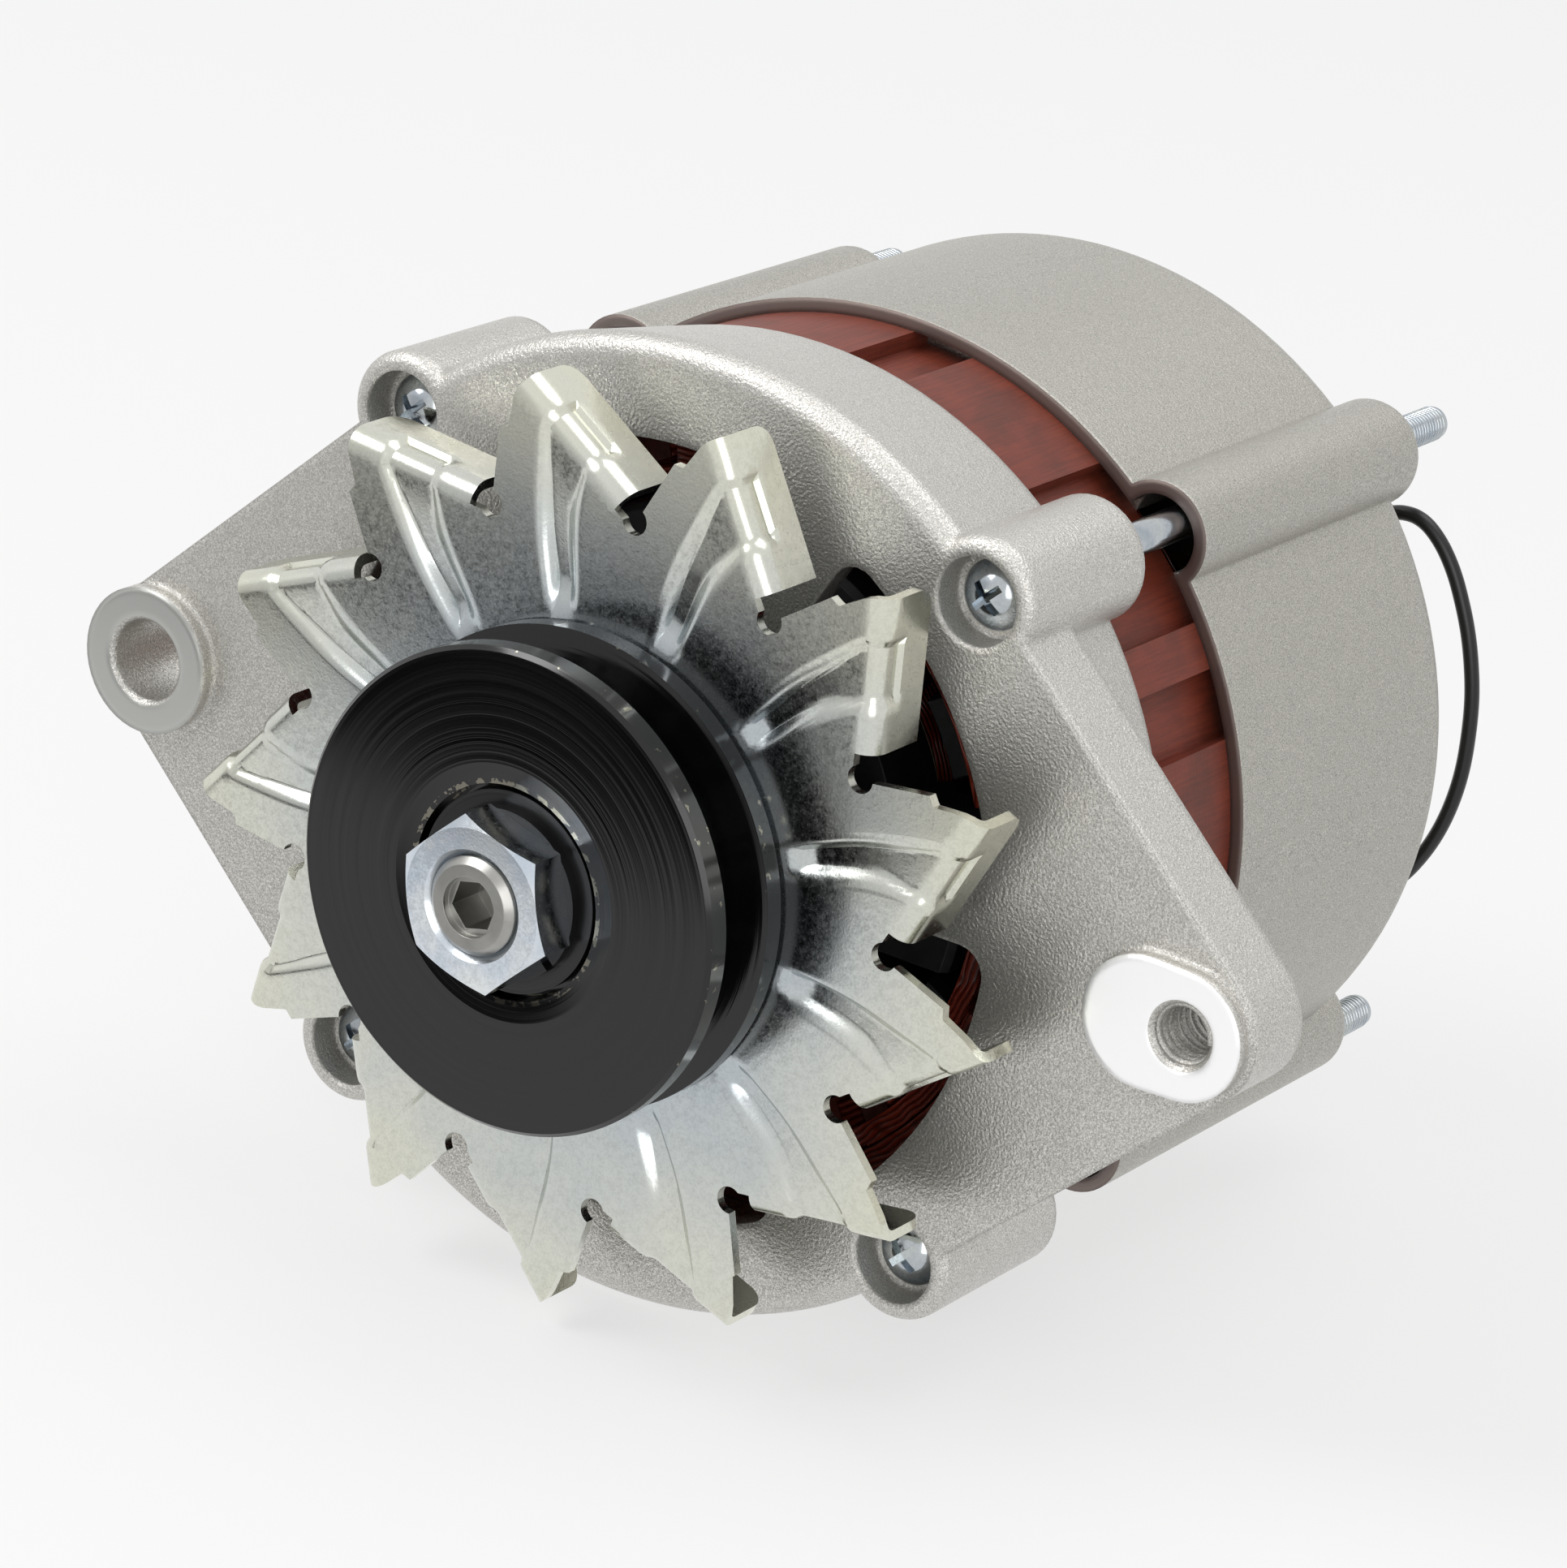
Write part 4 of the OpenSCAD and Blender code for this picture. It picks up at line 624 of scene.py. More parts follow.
@dataclass
class StampedFan:
    """The cooling fan: a flat blank of thirteen blades, with pressed beads and flaps folded back.

    One blade is drawn flat in millimetres, meshed, bent along its fold line and repeated round the shaft.
    On the blade, s runs along the fold from its foot to its tip, and w is the distance beyond the fold.
    """

    blades: int = 13
    first_hole: float = 2.85
    hole_r: float = 50.9
    hole_d: float = 4.0
    hole_steps: int = 9
    tip: tuple[float, float] = (68.0, -9.6)
    foot: tuple[float, float] = (54.0, -25.492)
    slit: tuple = ((52.1, -0.9), (61.0, -4.4))
    shoulder: tuple = ((61.1, -5.5), (61.2, -5.9))
    bore_r: float = 8.6
    face_y: float = 8.5
    sheet: float = 1.5
    rear_y: float = 19.1
    bend_r: float = 2.25
    bend_steps: int = 6
    corner_r: float = 3.0
    corner_steps: int = 6
    tip_ease: tuple = ((0.4, -0.8), (0.15, 0.0))
    bore_steps: int = 4
    grid: float = 0.95
    grid_row: float = 0.866
    grid_start: float = 0.5
    grid_clear: float = 0.45
    row_clear: float = 0.3
    sparse: int = 4
    hidden_r: float = 34.0
    hidden_radii: tuple = (13.0, 18.0, 23.0, 28.0, 32.0)
    bead_full_r: float = 40.0
    bead_depth: float = 1.8
    bead_end: float = 1.9
    bead_fade: float = 0.6
    bead_reach: float = 3.4
    flap_share: float = 0.42
    bead_span: tuple[float, float] = (8.2, 17.3)
    trail: float = 3.4
    trail_from_r: float = 44.0
    trail_over: float = 20.0
    trail_power: float = 1.6
    square_span: tuple[float, float] = (-7.0, 0.5)
    shallow_span: tuple[float, float] = (-16.0, 1.5)
    steep_width: tuple[float, float] = (0.26, 0.14)
    soft_start: tuple[float, float] = (0.60, 0.26)
    bead_rows: tuple = (-0.06, 0.0, 0.05, 0.10, 0.16, 0.22, 0.28, 0.37, 0.46, 0.55, 0.63, 0.71, 0.79, 0.87,
                        0.94, 1.0, 1.06)
    row_start: float = 0.8
    row_gap: float = 0.25
    flap_rows: int = 6
    flap_step: float = 0.5
    bead_edge: float = 0.12
    beside: float = -9.0
    sharp_degrees: float = 42.0

    def __post_init__(self) -> None:
        """Works out the fold line and the bend from the sizes."""
        tip, foot = polar(*self.tip), polar(*self.foot)
        self.pitch = 360 / self.blades
        self.along = (tip - foot).normalized()
        self.out = Vector((self.along.y, -self.along.x))
        self.length = (tip - foot).length
        self.origin = foot - self.out * (self.bend_r + self.sheet / 2)
        self.bend_len = self.bend_r * math.pi / 2
        self.flap_end = self.bend_len + self.rear_y - self.face_y - self.bend_r - self.sheet / 2
        self.bend_rows = [self.bend_len * i / self.bend_steps for i in range(self.bend_steps + 1)]

    def on_flap(self, s: float, w: float) -> Vector:
        """The flat point at s along the fold and w beyond it."""
        return self.origin + self.along * s + self.out * w

    def hole_arc(self, centre: float, start: Vector, end: Vector) -> list[Vector]:
        """Lays points round the hub's side of a relief hole.

        Args:
            centre: The angle of the hole about the shaft, in degrees.
            start: The first point, on the hole's edge.
            end: The last point, on the hole's edge.

        Returns:
            The points, from start to end.
        """
        middle = polar(self.hole_r, centre)
        a0 = math.atan2(*(start - middle).yx)
        a1 = math.atan2(*(end - middle).yx)
        inner = math.atan2(*(-middle).yx)
        turn = 2 * math.pi
        forward = (a1 - a0) % turn
        if (inner - a0) % turn > forward + 1e-6:
            forward -= turn
        angles = [a0 + forward * i / self.hole_steps for i in range(self.hole_steps + 1)]
        return [middle + Vector((math.cos(a), math.sin(a))) * self.hole_d / 2 for a in angles]

    def radial(self, degrees: float) -> list[Vector]:
        """Lays points on the line between two blades, which both of them share.

        Args:
            degrees: The line's angle about the shaft.

        Returns:
            The points, from the bore outwards.
        """
        reach = self.hole_r - self.hole_d / 2 - self.hidden_r
        steps = round(reach / self.grid)
        radii = [self.bore_r, *self.hidden_radii, self.hidden_r]
        radii += [self.hidden_r + reach * i / steps for i in range(1, steps + 1)]
        return [polar(r, degrees) for r in radii]

    def blank(self) -> list[Vector]:
        """Draws the outline of one blade, laid flat.

        Returns:
            The outline's points in order.
        """
        near, far = self.radial(0.0), self.radial(-self.pitch)
        hole = polar(self.hole_r, 0.0)
        start, notch = (polar(*point) for point in self.slit)
        run = (notch - start).normalized()
        off = start - hole
        t = -off.dot(run) + math.sqrt(off.dot(run) ** 2 - off.length_squared + (self.hole_d / 2) ** 2)
        edge = start + run * t
        points = near + self.hole_arc(0.0, near[-1], edge)[1:]
        points += self.split(edge, notch) + [polar(*point) for point in self.shoulder]
        for short, w in self.tip_ease:
            points += self.split(points[-1], self.on_flap(self.length - short, w))
        points += [self.on_flap(self.length, w) for w in self.bend_rows[1:]]
        points += self.split(points[-1], self.on_flap(self.length, self.flap_end - self.corner_r))
        for i in range(1, self.corner_steps + 1):
            a = math.radians(90 / self.corner_steps * i)
            points.append(self.on_flap(self.length - self.corner_r * (1 - math.cos(a)),
                                       self.flap_end - self.corner_r * (1 - math.sin(a))))
        points += self.split(points[-1], self.on_flap(0.0, self.flap_end))
        points += self.split(points[-1], self.on_flap(0.0, self.bend_len))
        points += [self.on_flap(0.0, w) for w in reversed(self.bend_rows[:-1])]
        last = polar(self.hole_r, -self.pitch)
        s, w = self.place(last)
        entry = self.on_flap(s + math.sqrt((self.hole_d / 2) ** 2 - w ** 2), 0.0)
        points += self.split(points[-1], entry)[:-1] + self.hole_arc(-self.pitch, entry, far[-1])
        points += list(reversed(far[:-1]))
        points += [polar(self.bore_r, -self.pitch + self.pitch * i / self.bore_steps)
                   for i in range(1, self.bore_steps)]
        return points

    def place(self, point: Vector) -> tuple[float, float]:
        """The distance of a flat point along the fold and beyond it."""
        rest = point - self.origin
        return rest.dot(self.along), rest.dot(self.out)

    def split(self, a: Vector, b: Vector) -> list[Vector]:
        """Points from a to b at the grid's spacing, without a."""
        count = max(1, round((b - a).length / self.grid))
        return [a.lerp(b, i / count) for i in range(1, count + 1)]

    def inside(self, point: Vector, outline: list[Vector], share: float) -> bool:
        """Tells whether a point lies in the outline and clear of its line.

        Args:
            point: The flat point.
            outline: The blade's outline.
            share: How far clear it has to be, as a share of the grid.

        Returns:
            True if it does.
        """
        hit = False
        for a, b in zip(outline, outline[1:] + outline[:1]):
            span = b - a
            t = min(1.0, max(0.0, (point - a).dot(span) / max(span.length_squared, 1e-12)))
            if (point - a - span * t).length < self.grid * share:
                return False
            if (a.y > point.y) != (b.y > point.y) and point.x < a.x + (point.y - a.y) * span.x / span.y:
                hit = not hit
        return hit

    def lag(self, radius: float, u: float) -> float:
        """How many degrees the bead is behind the blade's start, at u across it: it trails towards the rim."""
        sweep = self.trail * max(0.0, (radius - self.trail_from_r) / self.trail_over) ** self.trail_power
        return self.bead_span[0] + sweep + u * (self.bead_span[1] - self.bead_span[0])

    def across(self, point: Vector) -> float:
        """Finds where a flat point lies across its bead, which runs square to the fold on the flap.

        Args:
            point: The flat point.

        Returns:
            Zero on the leading side, one on the other, and a value far beside it under the pulley.
        """
        s, w = self.place(point)
        if w > self.bend_len + self.bead_reach or point.length < self.hidden_r:
            return self.beside
        base = self.origin + self.along * s if w > 0 else point
        behind = -math.degrees(math.atan2(base.y, base.x))
        return (behind - self.lag(base.length, 0.0)) / (self.bead_span[1] - self.bead_span[0])

    def on_bead(self, point: Vector) -> bool:
        """True if a flat point lies on the bead or close to its edge."""
        return -self.bead_edge < self.across(point) < 1 + self.bead_edge

    def bead_points(self, outline: list[Vector]) -> list[Vector]:
        """Lays points in rows along the bead, so that its edges come out clean.

        Args:
            outline: The blade's outline.

        Returns:
            The points that are inside it.
        """
        points = []
        for u in self.bead_rows:
            radius = self.hidden_r + self.row_start
            last = polar(radius, -self.lag(radius, u))
            while (last - self.origin).dot(self.out) < -self.row_gap:
                points.append(last)
                radius += self.grid
                last = polar(radius, -self.lag(radius, u))
            s = self.place(points[-1])[0]
            beyond = [self.bend_len + self.flap_step * i for i in range(1, self.flap_rows + 1)]
            points += [self.on_flap(s, w) for w in self.bend_rows + beyond]
        return [p for p in points if self.inside(p, outline, self.row_clear)]

    def bend_points(self, outline: list[Vector]) -> list[Vector]:
        """Lays points in rows along the fold outside the bead, so that the bend comes out round.

        Args:
            outline: The blade's outline.

        Returns:
            The points that are inside it.
        """
        count = round(self.length / self.grid)
        points = [self.on_flap(self.length * i / count, w) for i in range(1, count) for w in self.bend_rows]
        return [p for p in points if not self.on_bead(p) and self.inside(p, outline, self.row_clear)]

    def grid_points(self, outline: list[Vector]) -> list[Vector]:
        """Lays points in a triangular grid over the rest of the blade, sparse under the pulley.

        Args:
            outline: The blade's outline.

        Returns:
            The points that are inside it.
        """
        low = Vector((min(p.x for p in outline), min(p.y for p in outline)))
        high = Vector((max(p.x for p in outline), max(p.y for p in outline)))
        points = []
        row = 0
        y = low.y
        while y < high.y:
            x = low.x + (self.grid / 2 if row % 2 else 0.0)
            while x < high.x:
                point = Vector((x, y))
                seen = point.length > self.hidden_r + self.grid_start
                if seen or (row % self.sparse == 0 and int(x / self.grid) % self.sparse == 0):
                    points.append(point)
                x += self.grid
            y += self.grid * self.grid_row
            row += 1
        free = [p for p in points if self.off_bend(p) and not self.on_bead(p)]
        return [p for p in free if self.inside(p, outline, self.grid_clear)]

    def off_bend(self, point: Vector) -> bool:
        """True if a flat point is clear of the rows along the fold."""
        margin = self.grid * self.grid_clear
        return not -margin < self.place(point)[1] < self.bend_len + margin

    def bead(self, point: Vector) -> float:
        """Gives the pressed bead its section: steep in front and soft behind, and square on the flap.

        Args:
            point: The flat point.

        Returns:
            The bead's depth there, shallower on the fold and the flap.
        """
        w = self.place(point)[1]
        u = self.across(point)
        end = self.bend_len + self.bead_end
        start = smooth_step(self.hidden_r, self.bead_full_r, point.length)
        fade = 1 - smooth_step(end, end + self.bead_fade, w)
        square = smooth_step(*self.square_span, w)
        shallow = 1 - (1 - self.flap_share) * smooth_step(*self.shallow_span, w)
        steep = smooth_step(0.0, self.steep_width[0] - self.steep_width[1] * square, u)
        soft = 1 - smooth_step(self.soft_start[0] + self.soft_start[1] * square, 1.0, u)
        return self.bead_depth * steep * soft * start * fade * shallow

    def folded(self, point: Vector) -> Vector:
        """Presses and folds the sheet's middle at one point.

        Args:
            point: The flat point.

        Returns:
            Where it lies on the finished blade, in millimetres.
        """
        s, w = self.place(point)
        depth, middle = self.bead(point), self.face_y + self.sheet / 2
        if w <= 0:
            return Vector((point.x, middle + depth, point.y))
        turn = min(w / self.bend_r, math.pi / 2)
        reach = self.bend_r * math.sin(turn) - depth * math.sin(turn)
        flat = self.origin + self.along * s + self.out * reach
        y = middle + self.bend_r * (1 - math.cos(turn)) + max(0.0, w - self.bend_len) + depth * math.cos(turn)
        return Vector((flat.x, y, flat.y))

    def blade_mesh(self) -> Mesh:
        """Meshes one blade's middle surface.

        Returns:
            The surface in metres, turned to the first relief hole.
        """
        outline = self.blank()
        points = outline + self.bead_points(outline) + self.bend_points(outline)
        points += self.grid_points(outline)
        edges = [(i, (i + 1) % len(outline)) for i in range(len(outline))]
        verts, _, faces, *_ = delaunay_2d_cdt(points, edges, [], 1, 1e-5)
        mesh = bpy.data.meshes.new("fan_blade")
        mesh.from_pydata([self.folded(v) * MM for v in verts], [], faces)
        mesh.transform(Matrix.Rotation(math.radians(-self.first_hole), 4, "Y"))
        return mesh

    def build(self, finish: Material) -> Object:
        """Makes the fan and lets it stand for its solid.

        Args:
            finish: The plated sheet's material.

        Returns:
            The fan, riding on the rotor.
        """
        fan = new_object("stamped_fan", self.blade_mesh())
        repeat_round(fan, self.blades, finish)
        shell = fan.modifiers.new("sheet", "SOLIDIFY")
        shell.thickness = self.sheet * MM
        shell.offset = 0.0
        bake(fan)
        shade(fan, self.sharp_degrees)
        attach(fan, Body.ROTOR.value)
        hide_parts("cooling_fan")
        return fan


def start_group(name: str, **inputs: str) -> tuple[Tree, dict[str, str]]:
    """Starts a Geometry Nodes group that takes and gives geometry.

    Args:
        name: The group's name.
        inputs: The socket types of the further inputs, by label.

    Returns:
        The group's tree, and the inputs' identifiers by label.
    """
    tree = bpy.data.node_groups.new(name, "GeometryNodeTree")
    tree.interface.new_socket("Geometry", in_out="INPUT", socket_type="NodeSocketGeometry")
    labels = {label: tree.interface.new_socket(label, in_out="INPUT", socket_type=kind).identifier
              for label, kind in inputs.items()}
    tree.interface.new_socket("Geometry", in_out="OUTPUT", socket_type="NodeSocketGeometry")
    return tree, labels


def finish_group(tree: Tree, shape: Node, finish: Material, obj: Object, values: dict[str, float]) -> None:
    """Paints a group's result and puts the group on an object.

    Args:
        tree: The group's tree.
        shape: The node that gives the result.
        finish: The material of the result.
        obj: The object that gets the modifier.
        values: The inputs' values, by identifier.
    """
    paint = add_node(tree, "GeometryNodeSetMaterial", {"Geometry": shape, "Material": finish})
    add_node(tree, "NodeGroupOutput", {0: paint})
    modifier = obj.modifiers.new(tree.name, "NODES")
    modifier.node_group = tree
    for identifier, value in values.items():
        modifier[identifier] = value


def repeat_round(obj: Object, count: int, finish: Material) -> None:
    """Repeats a mesh round the shaft with Geometry Nodes and welds the copies into one.

    Args:
        obj: The object whose mesh is repeated.
        count: How many copies make a full turn.
        finish: The material of the result.
    """
    tree, labels = start_group("repeat_round", Count="NodeSocketInt")
    source = add_node(tree, "NodeGroupInput").outputs
    line = add_node(tree, "GeometryNodeMeshLine", {"Count": source["Count"], "Offset": (0.0, 0.0, 0.0)})
    index = add_node(tree, "GeometryNodeInputIndex")
    step = add_node(tree, "ShaderNodeMath", {0: 2 * math.pi, 1: source["Count"]}, operation="DIVIDE")
    angle = add_node(tree, "ShaderNodeMath", {0: index, 1: step}, operation="MULTIPLY")
    turn = add_node(tree, "ShaderNodeCombineXYZ", {"Y": angle})
    spin = add_node(tree, "FunctionNodeEulerToRotation", {0: turn})
    copies = add_node(tree, "GeometryNodeInstanceOnPoints", {
        "Points": line, "Instance": source["Geometry"], "Rotation": spin})
    real = add_node(tree, "GeometryNodeRealizeInstances", {0: copies})
    weld = add_node(tree, "GeometryNodeMergeByDistance", {"Geometry": real, "Distance": WELD_MM * MM})
    finish_group(tree, weld, finish, obj, {labels["Count"]: count})


def wound(name: str, radius: float, height: float, turns: float, wire: float,
          finish: Material) -> Object:
    """Winds a round wire about the Z axis with Geometry Nodes.

    Args:
        name: The object's name.
        radius: The helix's radius in millimetres.
        height: Its rise in millimetres.
        turns: How many turns it makes.
        wire: The wire's radius in millimetres.
        finish: The wire's material.

    Returns:
        The wound wire as a plain mesh, rising from the origin.
    """
    sizes = {"Radius": radius * MM, "Height": height * MM, "Turns": turns, "Wire": wire * MM}
    tree, labels = start_group("wound_wire", **dict.fromkeys(sizes, "NodeSocketFloat"))
    source = add_node(tree, "NodeGroupInput").outputs
    helix = add_node(tree, "GeometryNodeCurveSpiral", {
        "Resolution": WIRE_STEPS, "Rotations": source["Turns"], "Start Radius": source["Radius"],
        "End Radius": source["Radius"], "Height": source["Height"]})
    profile = add_node(tree, "GeometryNodeCurvePrimitiveCircle", {
        "Resolution": WIRE_SIDES, "Radius": source["Wire"]}, mode="RADIUS")
    swept = add_node(tree, "GeometryNodeCurveToMesh", {
        "Curve": helix, "Profile Curve": profile, "Fill Caps": True})
    real = add_node(tree, "GeometryNodeRealizeInstances", {0: swept})
    coil = new_object(name, bpy.data.meshes.new(name))
    finish_group(tree, real, finish, coil, {labels[label]: size for label, size in sizes.items()})
    bake(coil)
    shade(coil, WIRE_SMOOTH)
    return coil


@dataclass
class ScrewThread:
    """The visible ridge of one screw thread, wound along the shaft's direction."""

    name: str
    slot: str
    at: tuple[float, float]
    start_y: float
    length: float
    ridge_r: float
    pitch: float = 0.8
    depth: float = 0.25

    def build(self, finish: Material) -> Object:
        """Winds the ridge round its bolt, stud or hole.

        Args:
            finish: The thread's material.

        Returns:
            The ridge as a mesh, riding on the housing.
        """
        turns = self.length / self.pitch
        ridge = wound(self.name, self.ridge_r, self.length, turns, self.depth, finish)
        place = Matrix.Translation((self.at[0] * MM, self.start_y * MM, self.at[1] * MM))
        ridge.data.transform(place @ Matrix.Rotation(math.radians(-90), 4, "X"))
        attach(ridge, Body.HOUSING.value)
        return ridge


@dataclass
class BrushSpring:
    """The coil spring that pushes a brush."""

    brush: str
    turns: float = 7.0
    wire_r: float = 0.35
    coil_r: float = 1.9
    stroke: float = 5.0

    def build(self, finish: Material) -> Object:
        """Makes the spring and lets it stand for its solid.

        Args:
            finish: The spring wire's material.

        Returns:
            The spring, filling its solid's box and riding on the housing.
        """
        low, high = (Vector(corner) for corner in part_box(f"{self.brush}_spring"))
        length = (high.z - low.z) / MM
        rise = length - 2 * self.wire_r
        coil = wound(f"{self.brush}_coil", self.coil_r, rise, self.turns, self.wire_r, finish)
        foot = ((low.x + high.x) / 2, (low.y + high.y) / 2, low.z + self.wire_r * MM)
        coil.data.transform(Matrix.Translation(foot))
        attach(coil, Body.HOUSING.value)
        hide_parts(f"{self.brush}_spring")
        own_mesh(coil)
        return coil


@dataclass
class SuppressorLead:
    """The black lead that loops from the upper stud down to the suppressor under the back."""

    diameter: float = 2.3
    plane_y: float = 144.9
    sides: int = 16
    steps: int = 6
    smooth_degrees: float = 50.0
    route: tuple = (
        (46.5, 34.9), (48.6, 35.5), (51.0, 35.5), (53.4, 34.5), (56.0, 32.2), (58.4, 28.9), (60.4, 25.0),
        (62.2, 20.6), (63.6, 15.8), (64.6, 10.6), (65.0, 5.0), (64.9, -0.8), (64.1, -6.2), (62.6, -11.4),
        (60.4, -16.2), (57.6, -20.4), (54.2, -23.6), (50.4, -25.2), (46.6, -25.5))

    def path(self) -> list[Vector]:
        """Draws the centreline, smooth through the route's points.

        Returns:
            The centreline's points in metres.
        """
        flat = [Vector(p) for p in self.route]
        flat = [flat[0] * 2 - flat[1]] + flat + [flat[-1] * 2 - flat[-2]]
        line = []
        for a, b, c, d in zip(flat, flat[1:], flat[2:], flat[3:]):
            for i in range(self.steps):
                t = i / self.steps
                bend, curl = (a * 2 - b * 5 + c * 4 - d) * t ** 2, (b * 3 - a - c * 3 + d) * t ** 3
                line.append((b * 2 + (c - a) * t + bend + curl) / 2)
        line.append(flat[-2])
        return [Vector((p.x, self.plane_y, p.y)) * MM for p in line]

    def tube(self, path: list[Vector]) -> Mesh:
        """Sweeps the lead's round section along its path.

        Args:
            path: The centreline's points.

        Returns:
            The closed tube.
        """
        mesh = bmesh.new()
        across = Vector((0, 1, 0))
        rings = []
        for i, point in enumerate(path):
            ahead = (path[min(i + 1, len(path) - 1)] - path[max(i - 1, 0)]).normalized()
            side = ahead.cross(across).normalized()
            angles = [2 * math.pi * j / self.sides for j in range(self.sides)]
            spokes = [side * math.cos(a) + across * math.sin(a) for a in angles]
            rings.append([mesh.verts.new(point + spoke * self.diameter / 2 * MM) for spoke in spokes])
        for low, high in zip(rings, rings[1:]):
            for j in range(self.sides):
                k = (j + 1) % self.sides
                mesh.faces.new((low[j], low[k], high[k], high[j]))
        mesh.faces.new(list(reversed(rings[0])))
        mesh.faces.new(rings[-1])
        bmesh.ops.recalc_face_normals(mesh, faces=mesh.faces[:])
        data = bpy.data.meshes.new("suppressor_cable")
        mesh.to_mesh(data)
        mesh.free()
        return data

    def build(self, finish: Material) -> Object:
        """Makes the lead as a tube and lets it stand for its solid.

        Args:
            finish: The lead's material.

        Returns:
            The lead, riding on the housing with its terminal.
        """
        path = self.path()
        lead = new_object("suppressor_cable", self.tube(path))
        lead.data.materials.append(finish)
        shade(lead, self.smooth_degrees)
        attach(lead, Body.HOUSING.value)
        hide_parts("suppressor_lead")
        return lead


@dataclass(frozen=True)
class Lamp:
    """A soft rectangular lamp: where it hangs in metres, how large it is and its power in watts."""

    name: str
    place: tuple[float, float, float]
    size: tuple[float, float]
    watts: float

    def hang(self, target: Vector) -> None:
        """Hangs the lamp.

        Args:
            target: The point that it is aimed at.
        """
        data = bpy.data.lights.new(self.name, "AREA")
        data.shape = "RECTANGLE"
        data.size, data.size_y = self.size
        data.energy = self.watts
        lamp = new_object(self.name, data)
        lamp.location = self.place
        lamp.rotation_euler = (target - Vector(self.place)).to_track_quat("-Z", "Y").to_euler()


